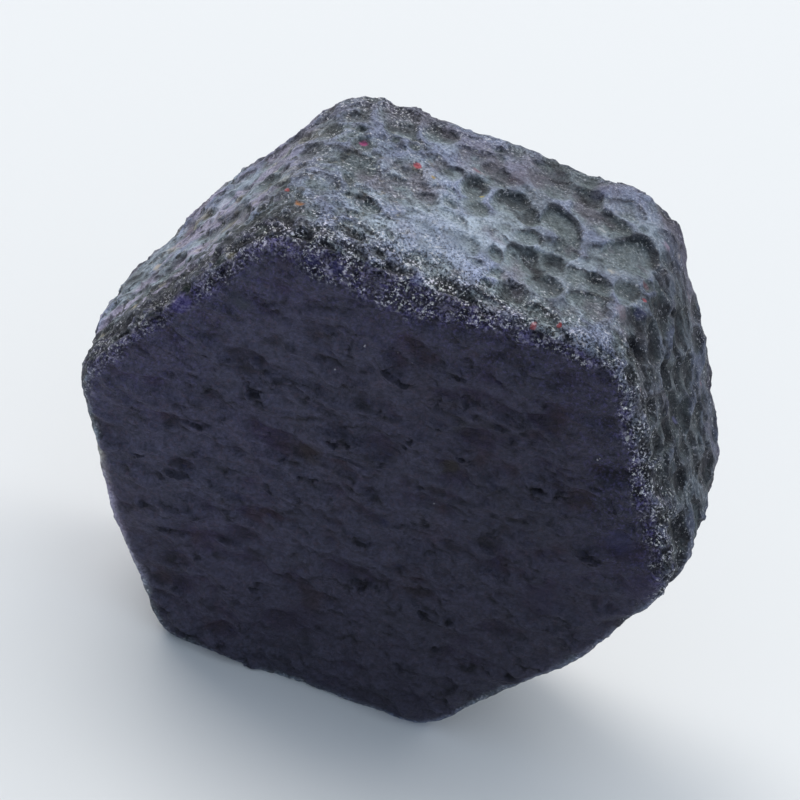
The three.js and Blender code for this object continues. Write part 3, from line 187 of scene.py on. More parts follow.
PITS_BELOW = [
    (-7.86, 5.56, 16.7, -1.93, -0.04, 0.12, 1.77, 0.19, 1.8), (5.03, 6.83, 24.54, -0.69, 0.04, 0.51, 0.73, 0.09, 1.9),
    (-1.7, 4.4, 5.73, -0.42, 0.07, 0.68, 0.65, 0.07, 1.7), (-4.12, 5.94, 19.09, 1.01, 0.14, 0.95, 1.32, 0.1, 1.5),
    (2.49, 4.27, 3.73, -0.64, 0.05, 0.54, 0.49, 0.08, 1.2), (-11.38, 2.87, 4.46, -0.05, -0.7, 0.11, 0.35, 0.16, 1.5),
    (-0.54, 5.77, 16.89, -1.35, 0.02, 0.43, 0.87, 0.1, 1.3), (-6.77, -1.61, 0.11, 1.36, 0.33, -0.18, 1.22, 0.17, 1.5),
    (7.29, 5.29, 11.23, -0.58, 0.03, 0.4, 0.52, 0.06, 1.3), (15.16, -1.76, 13.21, 0.12, 0.6, 0.29, 0.64, 0.13, 1.9),
    (-0.53, 4.83, 9.06, 0.42, 0.15, 1.15, 0.93, 0.1, 1.9), (-11.51, -5, 5.9, 0.29, -0.54, -0.05, 0.48, 0.13, 1.8),
    (7.64, 3.7, 1.36, -0.46, 0.34, -0.04, 0.46, 0.08, 1.4), (-3.63, 5.44, 14.83, 0.32, 0.06, 0.46, 0.31, 0.04, 1.8),
    (-8.76, 0.03, 0.87, 0.06, -0.67, -0.01, 0.37, 0.14, 1.2), (-8.89, -3.13, 1.25, 0.19, -0.81, -0.14, 0.58, 0.14, 1.8),
    (-10.64, 1.26, 3.39, -0.01, -0.75, 0.12, 0.39, 0.16, 1.6), (1.37, 6.71, 27.73, -0.59, -0.29, 0.24, 0.47, 0.11, 1.8),
    (8.76, -2.14, 2.89, 0.15, 0.72, 0.17, 0.6, 0.13, 1.3), (-14.97, -0.3, 11.13, 0.28, -0.31, -0.48, 0.43, 0.1, 1.5),
    (1.77, 4.35, 4.57, 0.63, 0.11, 0.77, 0.57, 0.07, 1.6), (-15.86, -2.5, 14.04, 0.01, -1.26, -0.49, 0.72, 0.29, 1.5),
    (-13.62, -1.97, 8.98, 0.32, -1.3, -0.39, 0.64, 0.19, 1.5), (3.43, 5.99, 17.9, -0.69, 0.01, 0.26, 0.61, 0.08, 1.6),
    (3.96, -4.33, 0.05, 0.41, -0.46, 0.06, 0.39, 0.07, 1.6), (-7.96, 1.36, 0.33, 0.91, -0.56, -0.32, 0.74, 0.14, 1.5),
    (11.26, -0.02, 6.54, -0.06, 0.89, -0.16, 0.53, 0.15, 1.7), (9.57, 3.72, 3.76, -0.29, 0.61, -0.22, 0.48, 0.17, 1.4),
    (10.92, -1.45, 6.14, 0.43, 1.21, 0.56, 1.21, 0.26, 1.4), (1.98, -3.66, 0, 0.61, -0.14, 0, 0.45, 0.09, 1.8),
    (-9.52, 0.26, 1.73, -0.14, -0.51, 0.25, 0.4, 0.11, 1.5), (-11.5, 1.36, 4.85, -0.26, -1.32, 0.63, 0.79, 0.27, 1.4),
    (-3.85, -4.13, 0.01, 1, -0.02, -0, 0.91, 0.14, 1.6), (2.67, 4.88, 8.82, 1.69, 0.14, 0.77, 1.56, 0.14, 1.5),
    (7.42, 5.8, 15.44, 1.33, 0.19, 1.28, 1.45, 0.15, 1.4), (-10.56, -3.96, 3.95, 0.19, -1.12, -0.17, 0.89, 0.19, 1.6),
    (-5.95, 5.37, 14.71, -1.21, 0.1, 1.09, 1.01, 0.16, 1.9), (-14.91, -5.25, 12.01, 1.01, -0.8, -0.81, 0.7, 0.23, 1.8),
    (8.19, 0.7, 1.87, 0.17, 1.14, 0.15, 0.54, 0.19, 1.6), (-15.34, 3.14, 11.38, 0.03, -0.59, 0.01, 0.27, 0.13, 1.3),
    (-9.11, 2.85, 1.06, -0.87, -1.28, 0.59, 0.98, 0.32, 1.2), (-2.09, 4.63, 7.71, -0.53, 0.05, 0.51, 0.53, 0.05, 1.5),
    (12.31, 1.61, 8.03, -0.26, 1.2, -0.5, 0.84, 0.21, 1.6), (11.39, 5.3, 10.5, 0.13, 0.09, 0.69, 0.53, 0.05, 1.3),
    (1.39, 3.32, 0.16, -1.13, -0.27, -0.14, 0.98, 0.14, 1.6), (15.55, 4.38, 13.19, 0.09, 0.81, 0.17, 0.39, 0.11, 1.2),
    (-2.51, 4.12, 3.62, 0.63, 0.13, 0.95, 1.03, 0.1, 1.8), (-15.93, 3.58, 13.12, -0.01, -0.69, 0.11, 0.37, 0.16, 1.7),
    (-0.09, 5.57, 15.11, 0.77, 0.06, 0.35, 0.56, 0.07, 1.9), (4.44, 4.61, 6.2, -0.44, 0.03, 0.37, 0.49, 0.04, 1.8),
    (10.4, 5.61, 13.24, 0.37, 0.08, 0.59, 0.47, 0.07, 1.2), (2.34, 4.06, 2.15, 0.68, 0.05, 0.25, 0.67, 0.06, 1.3),
    (13.83, 1.75, 10.37, -0.14, 0.52, -0.26, 0.27, 0.09, 1.5), (9.72, 5.29, 10.67, 0.53, 0.07, 0.48, 0.67, 0.08, 1.4),
    (-0.67, 4.5, 6.34, 0.17, 0.08, 0.62, 0.53, 0.07, 1.4), (-13.92, 3.37, 8.8, 0.18, -1.41, -0.29, 0.8, 0.23, 1.9),
    (-1.03, -3.02, 0, 1.04, -0.57, 0, 1.05, 0.12, 1.9), (-7.73, 4.9, 11.21, -0.55, 0.01, 0.17, 0.31, 0.06, 1.3),
    (-1.28, 4.25, 4.36, -0.46, 0.04, 0.43, 0.41, 0.06, 1.8), (-2.78, 5.39, 14.23, -0.64, 0.06, 0.67, 0.66, 0.07, 1.3),
    (12.62, -3.75, 8.94, -0.03, 0.92, -0.14, 0.69, 0.17, 1.8), (3.8, 1.15, 0.01, 1.22, -0.39, 0.02, 0.83, 0.15, 1.5),
    (6.46, 4.95, 8.6, -1.06, -0.02, 0.08, 0.69, 0.1, 1.5), (-1.79, 5.31, 13.35, -0.44, 0.05, 0.48, 0.6, 0.05, 1.4),
    (-7.33, 6.46, 24.19, 0.61, 0.03, 0.07, 0.4, 0.06, 1.6), (-5.84, 5.2, 13.28, -0.23, 0.06, 0.58, 0.47, 0.05, 1.9),
    (-0.76, 6.22, 20.72, -0.29, 0.22, 1.91, 1.06, 0.15, 1.5), (-7.69, 4.24, 5.67, 0.66, 0.06, 0.39, 0.68, 0.06, 1.9),
    (4.07, 4.7, 6.99, 0.76, 0.09, 0.55, 0.65, 0.08, 1.5), (4.47, 5.49, 13.45, -0.69, 0.09, 0.89, 0.9, 0.11, 1.7),
    (11.53, -2.83, 7.18, -0, 1.27, -0.11, 0.91, 0.24, 1.8), (0.35, 4.7, 7.78, 0.86, 0.06, 0.3, 0.78, 0.06, 1.4),
    (4.59, 6.13, 18.76, -1.37, 0.09, 1.02, 1.34, 0.11, 1.7), (-14.77, 0.51, 10.66, 0.08, -1.08, 0.01, 0.94, 0.19, 1.4),
    (-1.49, 3.94, 2.02, 0.96, 0.03, 0.04, 0.75, 0.1, 1.3), (6.26, 5.4, 12.33, 0.71, 0.07, 0.45, 0.38, 0.09, 1.4),
    (6.3, -1.83, 0.36, 0.8, -0.06, 0.32, 0.54, 0.12, 1.6), (14.68, -4.41, 12.45, 0.21, 0.76, 0.07, 0.36, 0.14, 1.5),
    (0.15, -4.66, 0.06, 0.71, 0.21, -0.05, 0.37, 0.08, 1.8), (-15.83, -0.15, 13.14, 0.03, -0.74, -0.02, 0.6, 0.13, 1.4),
    (-13.21, -4.64, 8.66, 0.02, -0.89, 0.2, 0.6, 0.17, 1.8), (-0.4, 3.4, 0.25, -0.69, -0.11, -0.09, 0.42, 0.15, 1.6),
    (-12.45, -4.56, 7.32, -0.02, -0.67, 0.2, 0.52, 0.14, 1.5), (-12.09, -1.51, 6.26, 0.45, -1.15, -0.63, 0.85, 0.3, 1.5),
    (3.15, 5.31, 12.28, -0.41, 0.07, 0.65, 0.62, 0.07, 1.3), (12.27, -0.62, 8.15, -0.03, 0.63, -0.1, 0.42, 0.11, 1.8),
    (-14.29, 1.53, 9.68, 0.17, -0.63, -0.21, 0.52, 0.14, 1.3), (3.75, 5.57, 14.34, -0.7, 0.02, 0.3, 0.53, 0.05, 1.5),
    (3.52, 2.66, 0.02, 1.06, -0.12, 0.01, 0.75, 0.14, 1.4), (-5.65, 0.05, 0.02, 1.56, 0.49, -0.05, 1.07, 0.25, 1.8),
    (-3.22, 6.77, 25.9, 1.37, 0.11, 0.7, 1.35, 0.14, 1.8), (11.95, 3.23, 7.35, 0.22, 1.14, 0.25, 1.08, 0.18, 1.6),
    (7.56, 6.27, 19.3, 0.6, 0.03, 0.13, 0.54, 0.06, 1.7), (13.17, 1.96, 9.33, 0.29, 0.99, 0.37, 0.51, 0.21, 1.8),
    (-0.57, 5.01, 10.53, -1.1, 0.08, 0.9, 1.3, 0.14, 1.6), (-15.32, -4.21, 12.35, 0.13, -0.56, -0.19, 0.46, 0.09, 1.6),
    (2.12, -2.32, 0, 0.75, 0.12, 0, 0.36, 0.11, 1.9), (8.99, 6.01, 16.82, -0.57, 0.06, 0.61, 0.56, 0.07, 1.3),
    (-0.12, 5.25, 12.45, 0.35, 0.09, 0.67, 0.67, 0.08, 1.9), (-5.86, -3.31, 0.04, 0.52, 0.19, -0.03, 0.44, 0.06, 1.3),
    (15.29, -0.77, 13.51, 0.01, 1.04, -0.41, 0.98, 0.16, 1.7), (1.59, 5.34, 12.87, 1.58, 0.16, 0.98, 0.9, 0.2, 1.6),
    (-3.44, 0.87, 0, 1.09, 0.18, -0, 1.04, 0.16, 1.7), (12.14, 6.07, 16.73, -0.22, 0.08, 0.76, 0.73, 0.08, 1.3),
    (13.85, -1.93, 10.7, -0.15, 0.57, -0.28, 0.59, 0.14, 1.6), (11.96, -1.28, 7.72, -0.14, 0.54, -0.26, 0.42, 0.09, 1.7),
    (5.91, 0.73, 0.2, 1.18, -0.2, 0.28, 0.74, 0.17, 1.6), (15.16, 5.35, 12.85, -0.51, 0.35, -0.07, 0.35, 0.15, 1.7),
    (-5.68, 4.13, 4.3, 1.07, 0.11, 0.69, 0.62, 0.13, 1.8), (7.07, -4.02, 0.92, 0.47, 0.56, 0.36, 0.77, 0.19, 1.6),
    (-15.92, 1.94, 13.32, 0.01, -0.6, -0, 0.52, 0.1, 1.2), (3.94, 5.17, 10.91, 1.56, 0.2, 1.34, 1.84, 0.21, 1.5),
    (-4.17, 5.6, 16.25, -0.25, 0.07, 0.64, 0.5, 0.07, 1.4), (-4.72, 2.8, 0.04, 0.94, 0.19, 0.02, 0.8, 0.16, 1.3),
    (-14.45, -3.85, 10.67, -0.03, -1.08, 0.2, 0.51, 0.19, 1.4), (5.31, 5.79, 15.81, -0.54, 0.01, 0.2, 0.27, 0.05, 1.5),
    (-15.39, 1.99, 11.64, 0.16, -0.61, -0.26, 0.42, 0.14, 1.2), (8.35, 4.06, 2.65, -0.35, 0.3, 0.46, 0.31, 0.06, 1.7),
    (7.82, 2.27, 1.32, -0.13, 0.86, -0.19, 0.81, 0.17, 1.3), (-4.89, -2.2, 0.01, 1.13, 0.4, -0.02, 1.04, 0.15, 1.7),
]
# small ledges on the front basal face: from x, y, z to x, y, z; height; how far it fades above
LEDGES = [
    (-10.2, -5.74, 16.53, -8.79, -5.71, 16.26, 0.1, 1), (-8.73, -5.71, 16.03, -7.61, -5.69, 16.08, 0.14, 1),
    (-10.45, -5.73, 15.51, -9.71, -5.72, 15.26, 0.1, 0.8), (-10.9, -5.75, 16.86, -10.04, -5.74, 16.73, 0.08, 0.8),
    (-9.78, -5.75, 18.07, -8.76, -5.73, 18.08, 0.08, 0.9), (-8.97, -5.73, 18.11, -7.75, -5.71, 18.15, 0.06, 0.9),
    (-2.93, -5.61, 17.02, -1.4, -5.59, 17.39, 0.12, 1), (-1.4, -5.59, 17.39, -0.03, -5.57, 17.62, 0.1, 0.9),
    (-1.65, -5.6, 18.25, -0.19, -5.58, 18.52, 0.1, 0.9), (-4, -5.64, 17.52, -2.79, -5.61, 17.41, 0.06, 0.7),
    (-6.01, -5.66, 16.08, -3.83, -5.63, 16.94, 0.08, 1.2), (-7.36, -5.67, 15.34, -6.29, -5.66, 15.76, 0.05, 0.8),
    (-9.79, -5.68, 12.13, -8.87, -5.67, 12.21, 0.08, 0.9), (-8.87, -5.67, 12.21, -8.2, -5.66, 12.45, 0.06, 0.8),
    (-8.01, -5.74, 20.26, -7.15, -5.72, 20.27, 0.07, 0.8), (-7.15, -5.72, 20.27, -6.4, -5.71, 20.67, 0.05, 0.8),
    (-3.35, -5.65, 19.42, -2.92, -5.63, 19.16, 0.1, 0.6), (-4.39, -5.65, 18.18, -3.18, -5.64, 18.79, 0.05, 0.8),
    (-6.32, -5.73, 22.97, -4.57, -5.71, 23.74, 0.1, 1.2), (-5.5, -5.71, 22.2, -4.26, -5.69, 22.63, 0.12, 1.2),
    (-4.23, -5.69, 22.52, -3.46, -5.68, 22.48, 0.1, 1), (-9.72, -5.77, 20.95, -9.17, -5.76, 20.82, 0.1, 0.8),
    (-9.93, -5.77, 21.36, -9.51, -5.76, 20.92, 0.08, 0.6), (-10.71, -5.77, 19.31, -9.69, -5.76, 19.7, 0.06, 0.8),
    (-6.8, -5.69, 17.67, -6.42, -5.68, 17.78, 0.1, 0.6), (-5.12, -5.67, 18.62, -4.41, -5.66, 18.62, 0.06, 0.6),
    (-2.66, -5.63, 18.77, -1.73, -5.61, 18.54, 0.08, 0.7), (0.51, -5.58, 20.13, 2.22, -5.56, 20.71, 0.06, 0.9),
    (0.67, -5.58, 20.46, 1.13, -5.58, 20.61, 0.06, 0.5), (-0.93, -5.61, 20.7, -0.48, -5.61, 20.58, 0.06, 0.5),
    (4.75, -5.47, 16.06, 5.58, -5.45, 16.04, 0.08, 0.7), (2.93, -5.48, 14.56, 4.8, -5.46, 15.22, 0.05, 0.9),
    (6.76, -5.43, 15.92, 7.71, -5.41, 16.16, 0.05, 0.7), (9.03, -5.4, 17.36, 10.22, -5.38, 17.64, 0.05, 0.8),
    (-1.67, -5.55, 13.44, -0.82, -5.54, 13.56, 0.1, 0.8), (-0.63, -5.54, 13.99, -0.09, -5.53, 13.9, 0.08, 0.7),
    (-1.99, -5.53, 10.33, -1.22, -5.51, 10.55, 0.06, 0.8), (-3.28, -5.52, 7.95, -2.68, -5.52, 8.64, 0.06, 0.8),
    (-1.11, -5.48, 7.72, 0.23, -5.46, 7.65, 0.1, 1), (0.76, -5.46, 8.59, 2.19, -5.43, 8.57, 0.08, 1),
    (-1.98, -5.49, 7.03, -1.14, -5.49, 7.84, 0.06, 0.8), (-10.08, -5.65, 8.76, -9.21, -5.64, 8.62, 0.08, 0.8),
    (-8.47, -5.62, 8.62, -7.65, -5.61, 8.73, 0.08, 0.8), (-6.95, -5.6, 9.26, -6.14, -5.59, 9.36, 0.08, 0.8),
    (-6.74, -5.61, 10.44, -5.63, -5.59, 10.21, 0.1, 0.8), (-4.71, -5.58, 10.7, -3.99, -5.56, 10.35, 0.08, 0.7),
    (6.72, -5.39, 12.33, 7.74, -5.38, 12.74, 0.06, 0.8), (7.97, -5.36, 11.69, 9.2, -5.34, 11.92, 0.05, 0.8),
    (10.3, -5.36, 15.15, 11.6, -5.33, 15.28, 0.04, 0.9), (8.81, -5.38, 15.13, 9.52, -5.37, 15.33, 0.06, 0.7),
    (5.7, -5.42, 13.28, 6.19, -5.41, 13.71, 0.06, 0.7), (-8.92, -5.74, 19.48, -8.28, -5.73, 19.38, 0.05, 0.6),
    (-6.96, -5.71, 19.01, -6.23, -5.69, 18.96, 0.08, 0.6), (7.3, -5.46, 19.72, 8.43, -5.44, 20.04, 0.05, 0.8),
    (6.29, -5.48, 20.36, 7.69, -5.46, 20.74, 0.04, 0.8), (4.4, -5.51, 19.89, 5.16, -5.5, 19.91, 0.05, 0.6),
    (4.77, -5.53, 21.99, 5.3, -5.52, 21.91, 0.06, 0.6), (9.61, -5.41, 20.31, 10.57, -5.34, 20.45, 0.05, 0.6),
    (4.39, -5.41, 9.67, 5.36, -5.39, 9.92, 0.05, 0.8), (2.81, -5.42, 8.58, 3.66, -5.41, 8.57, 0.05, 0.8),
    (-8.15, -5.76, 22.65, -7.52, -5.75, 22.56, 0.06, 0.6), (-12.98, -5.75, 14.1, -12.4, -5.75, 14.24, 0.04, 0.8),
    (2.61, -5.52, 17.71, 3.37, -5.51, 18.26, 0.05, 0.6), (2.17, -5.5, 15.4, 2.66, -5.49, 14.77, 0.05, 0.5),
]

# ------------------------------------------------------------------ noise, all seeded by position


def mix32(ix, iy, iz, seed):
    h = (ix * 73856093) ^ (iy * 19349663) ^ (iz * 83492791) ^ (seed * 26544357)
    h = h & 0xFFFFFFFF
    h = ((h ^ (h >> 16)) * 0x45D9F3B) & 0xFFFFFFFF
    h = ((h ^ (h >> 16)) * 0x45D9F3B) & 0xFFFFFFFF
    return h ^ (h >> 16)


_r = np.random.default_rng(7)
GRAD = _r.normal(size=(256, 3)).astype(np.float32)
GRAD /= np.linalg.norm(GRAD, axis=1)[:, None]


def noise(p, size, seed=0):
    """Gradient noise, about -1 to 1. size is the wavelength in mm, one number or three."""
    x = (p / np.asarray(size, np.float32)).astype(np.float32)
    i = np.floor(x)
    f = x - i
    i = i.astype(np.int64)
    w = f * f * f * (f * (f * 6 - 15) + 10)
    out = np.zeros(len(p), np.float32)
    for dx in (0, 1):
        wx = w[:, 0] if dx else 1 - w[:, 0]
        for dy in (0, 1):
            wy = wx * (w[:, 1] if dy else 1 - w[:, 1])
            for dz in (0, 1):
                g = GRAD[mix32(i[:, 0] + dx, i[:, 1] + dy, i[:, 2] + dz, seed) & 255]
                dot = g[:, 0] * (f[:, 0] - dx) + g[:, 1] * (f[:, 1] - dy) + g[:, 2] * (f[:, 2] - dz)
                out += dot * wy * (w[:, 2] if dz else 1 - w[:, 2])
    return out * 1.6


def fbm(p, size, octaves=3, seed=0, gain=0.5):
    out = np.zeros(len(p), np.float32)
    amp, total, s = 1.0, 0.0, np.asarray(size, np.float32)
    for k in range(octaves):
        out += amp * noise(p, s, seed + 11 * k)
        total += amp
        amp *= gain
        s = s / 2.03
    return out / total


def cells(p, size, seed=0, jitter=0.9):
    """Cell noise: distances to the nearest and second nearest points, in cell sizes, and the nearest cell's hash."""
    x = (p / np.asarray(size, np.float32)).astype(np.float32)
    i = np.floor(x).astype(np.int64)
    f = x - i
    d1 = np.full(len(p), 9.0, np.float32)
    d2 = np.full(len(p), 9.0, np.float32)
    who = np.zeros(len(p), np.int64)
    for dx in (-1, 0, 1):
        for dy in (-1, 0, 1):
            for dz in (-1, 0, 1):
                h = mix32(i[:, 0] + dx, i[:, 1] + dy, i[:, 2] + dz, seed)
                jx = ((h & 1023) / 1023 - 0.5) * jitter + 0.5 + dx - f[:, 0]
                jy = (((h >> 10) & 1023) / 1023 - 0.5) * jitter + 0.5 + dy - f[:, 1]
                jz = (((h >> 20) & 1023) / 1023 - 0.5) * jitter + 0.5 + dz - f[:, 2]
                d = (jx * jx + jy * jy + jz * jz).astype(np.float32)
                near = d < d1
                d2 = np.where(near, d1, np.minimum(d2, d))
                who = np.where(near, h, who)
                d1 = np.where(near, d, d1)
    return np.sqrt(d1), np.sqrt(d2), who


def share_of(who, salt):
    """A number from 0 to 1 that belongs to a cell."""
    return (mix32(who, who >> 7, who >> 13, salt) & 0xFFFF).astype(np.float32) / 65535.0


def smooth(a, b, x):
    t = np.clip((x - a) / (b - a), 0, 1)
    return t * t * (3 - 2 * t)


# ------------------------------------------------------------------ the base shape

NORMALS = np.array([n for n, d in FACES])
REACHES = np.array([d - np.dot(n, CENTRE) for n, d in FACES])


def geodesic(count):
    """An icosahedron with each edge cut into count steps, on the unit sphere."""
    q = (1 + 5**0.5) / 2
    corners = np.array([(-1, q, 0), (1, q, 0), (-1, -q, 0), (1, -q, 0), (0, -1, q), (0, 1, q),
                        (0, -1, -q), (0, 1, -q), (q, 0, -1), (q, 0, 1), (-q, 0, -1), (-q, 0, 1)], float)
    corners /= np.linalg.norm(corners, axis=1)[:, None]
    faces = [(0, 11, 5), (0, 5, 1), (0, 1, 7), (0, 7, 10), (0, 10, 11), (1, 5, 9), (5, 11, 4), (11, 10, 2),
             (10, 7, 6), (7, 1, 8), (3, 9, 4), (3, 4, 2), (3, 2, 6), (3, 6, 8), (3, 8, 9), (4, 9, 5),
             (2, 4, 11), (6, 2, 10), (8, 6, 7), (9, 8, 1)]
    gi, gj = np.meshgrid(np.arange(count + 1), np.arange(count + 1), indexing="ij")
    keep = gi + gj <= count
    gi, gj = gi[keep], gj[keep]
    index = -np.ones((count + 1, count + 1), int)
    index[gi, gj] = np.arange(len(gi))
    a, b = gi / count, gj / count
    c = 1 - a - b
    ui, uj = np.meshgrid(np.arange(count), np.arange(count), indexing="ij")
    up = ui + uj < count
    ui, uj = ui[up], uj[up]
    dn = ui + uj < count - 1
    di, dj = ui[dn], uj[dn]
    local = np.vstack([
        np.stack([index[ui, uj], index[ui + 1, uj], index[ui, uj + 1]], 1),
        np.stack([index[di + 1, dj], index[di + 1, dj + 1], index[di, dj + 1]], 1)])
    points, tris = [], []
    for k, (p0, p1, p2) in enumerate(faces):
        p = c[:, None] * corners[p0] + a[:, None] * corners[p1] + b[:, None] * corners[p2]
        points.append(p / np.linalg.norm(p, axis=1)[:, None])
        tris.append(local + k * len(gi))
    points, tris = np.vstack(points), np.vstack(tris)
    key = np.round(points * 1e6).astype(np.int64)
    _, first, inverse = np.unique(key, axis=0, return_index=True, return_inverse=True)
    return points[first], inverse.ravel()[tris]


def base_surface(u):
    """Points and outward normals for unit directions from the centre."""
    shares = np.maximum(u @ NORMALS.T / REACHES, 0)
    r = (shares**SHARP).sum(1) ** (-1 / SHARP)
    p = CENTRE + u * r[:, None]
    shares = np.maximum((p - CENTRE) @ NORMALS.T / REACHES, 0)
    n = (shares ** (SHARP - 1) / REACHES) @ NORMALS
    n /= np.linalg.norm(n, axis=1)[:, None]
    return p, n


def wander(p):
    x, y, z = p.T
    return np.stack([
        x + 0.13 * np.sin(2.9 * y + 1.7 * z + 0.5) + 0.06 * np.sin(6.1 * z - 2.3 * x),
        y + 0.12 * np.sin(2.6 * z + 1.9 * x + 2.1) + 0.06 * np.sin(5.7 * x + 2.9 * y),
        z + 0.12 * np.sin(2.7 * x - 1.5 * y + 4.0) + 0.06 * np.sin(5.3 * y + 3.1 * z)], 1)


def waves(p):
    x, y, z = p.T
    return (0.045 * np.sin(0.62 * x + 0.4 * y + 0.3 * z)
            + 0.04 * np.sin(0.5 * z - 0.75 * x + 0.9 * y + 1.1)
            + 0.03 * np.sin(1.3 * x + 0.8 * z - 0.6 * y + 2.3)
            + 0.025 * np.sin(1.7 * z - 0.9 * x + 1.5 * y + 0.7))


def normal_at(point):
    return base_surface(((point - CENTRE) / np.linalg.norm(point - CENTRE))[None])[1][0]


def steep_way(n):
    """Which way each face's dishes have their steep wall: to the back on the prism faces, up on the basal faces."""
    basal = smooth(0.70, 0.97, np.abs(n[:, 1]))[:, None]
    way = np.array([0.35, 1.0, 0.25]) * (1 - basal) + np.array([0.25, 0.0, 1.0]) * basal
    way = way - n * (way * n).sum(1)[:, None]
    return way / np.maximum(np.linalg.norm(way, axis=1), 1e-6)[:, None]


def traced_dishes(p, n, rows):
    """The deepest dish at each point, the highest rim, in mm, and where its steep wall is."""
    deepest, rims, walls = np.zeros(len(p)), np.zeros(len(p)), np.zeros(len(p))
    for x, y, z, ax, ay, az, minor, depth, steep in rows:
        mouth, along = np.array([x, y, z]), np.array([ax, ay, az])
        major = np.linalg.norm(along)
        near = np.where(((p - mouth) ** 2).sum(1) < (major * 1.35 + 0.3) ** 2)[0]
        if not len(near):
            continue
        along = along / major
        out = normal_at(mouth)
        near = near[n[near] @ out > 0.3]
        across = np.cross(out, along)
        v = p[near] - mouth
        a, c = v @ along / major, v @ across / minor
        s = a**2 + c**2 + (v @ out / (major + minor)) ** 2
        back = steep_way(out[None])[0]
        lean = np.clip(a * (along @ back) + c * (across @ back), -1, 1)
        bowl = np.clip(1 - s ** (1.5 + 1.5 * steep), 0, 1) * (1 + LEAN * lean) / (1 + 0.5 * LEAN)
        deepest[near] = np.maximum(deepest[near], PIT_DEPTH * depth * bowl)
        lip = min(0.035, 0.12 * depth) * np.exp(-(((np.sqrt(s) - 1.03) / 0.11) ** 2)) * (1 - 0.4 * lean)
        rims[near] = np.maximum(rims[near], lip)
        wall = smooth(0.60, 0.85, s) * smooth(1.14, 1.02, s) * smooth(0.0, 0.5, lean) * min(1, depth / 0.12)
        walls[near] = np.maximum(walls[near], wall)
    return deepest, rims, walls


def eaten(p, way, size, reach, depth, missing=0.3, seed=0, lean=0.5, power=1.5, walls=False):
    """Overlapping round dishes, one to a cell, that cover the surface. Sizes in mm; the deepest one wins."""
    size = np.asarray(size, np.float32) * np.ones(3, np.float32)
    x = (p / size).astype(np.float32)
    i = np.floor(x).astype(np.int64)
    f = x - i
    out, wall = np.zeros(len(p), np.float32), np.zeros(len(p), np.float32)
    way = way.astype(np.float32)
    for dx in (-1, 0, 1):
        for dy in (-1, 0, 1):
            for dz in (-1, 0, 1):
                h = mix32(i[:, 0] + dx, i[:, 1] + dy, i[:, 2] + dz, seed)
                jx = f[:, 0] - (((h & 1023) / 1023 - 0.5) * 0.9 + 0.5 + dx)
                jy = f[:, 1] - ((((h >> 10) & 1023) / 1023 - 0.5) * 0.9 + 0.5 + dy)
                jz = f[:, 2] - ((((h >> 20) & 1023) / 1023 - 0.5) * 0.9 + 0.5 + dz)
                g = mix32(h, h >> 5, h >> 9, seed + 7)
                r = reach[0] + (reach[1] - reach[0]) * ((g & 255) / 255.0)
                s = (jx * jx + jy * jy + jz * jz) / (r * r)
                tall = depth[0] + (depth[1] - depth[0]) * (((g >> 8) & 255) / 255.0) ** 1.5
                tall = tall * (((g >> 16) & 255) / 255.0 > missing)
                slant = (jx * way[:, 0] + jy * way[:, 1] + jz * way[:, 2]) / r
                dish = np.clip(1 - s**power, 0, 1) * (1 + lean * np.clip(slant, -1, 1)) * tall
                wins = dish > out
                steep = np.clip((s - 0.55) / 0.3, 0, 1) * np.clip((slant - 0.1) / 0.4, 0, 1) * np.clip(tall / 0.12, 0, 1)
                wall[wins] = steep[wins]
                out[wins] = dish[wins]
    return (out, wall) if walls else out


def traced_ledges(p, n, rows):
    out, lip_shadows = np.zeros(len(p)), np.zeros(len(p))
    for x0, y0, z0, x1, y1, z1, height, fade in rows:
        a, b = np.array([x0, y0, z0]), np.array([x1, y1, z1])
        mid, half = (a + b) / 2, np.linalg.norm(b - a) / 2
        near = np.where((((p - mid) ** 2).sum(1) < (half * 1.4 + fade * 3) ** 2) & (n[:, 1] < -0.5))[0]
        along = (b - a) / np.linalg.norm(b - a)
        up = np.cross(along, np.array([0, -1.0, 0]))
        up = up if up[2] > 0 else -up
        v = p[near] - mid
        s, t = v @ along / half, v @ up
        t = t + 0.06 * np.sin(s * 5 + mid[0]) + 0.03 * np.sin(s * 13 + mid[2])
        ends = np.clip(1.25 - np.abs(s), 0, 1) ** 0.7
        rise = np.where(t > 0, np.exp(-np.maximum(t, 0) / fade), 0) * smooth(-0.03, 0.03, t)
        out[near] = np.maximum(out[near], 1.5 * height * rise * ends)
        # a thin painted shadow just under each ledge's lip
        lip_shadows[near] = np.maximum(lip_shadows[near], min(1, height / 0.08) * ends * np.exp(-(((t + 0.03) / 0.10) ** 2)))
    return out, lip_shadows


# ------------------------------------------------------------------ the fine relief

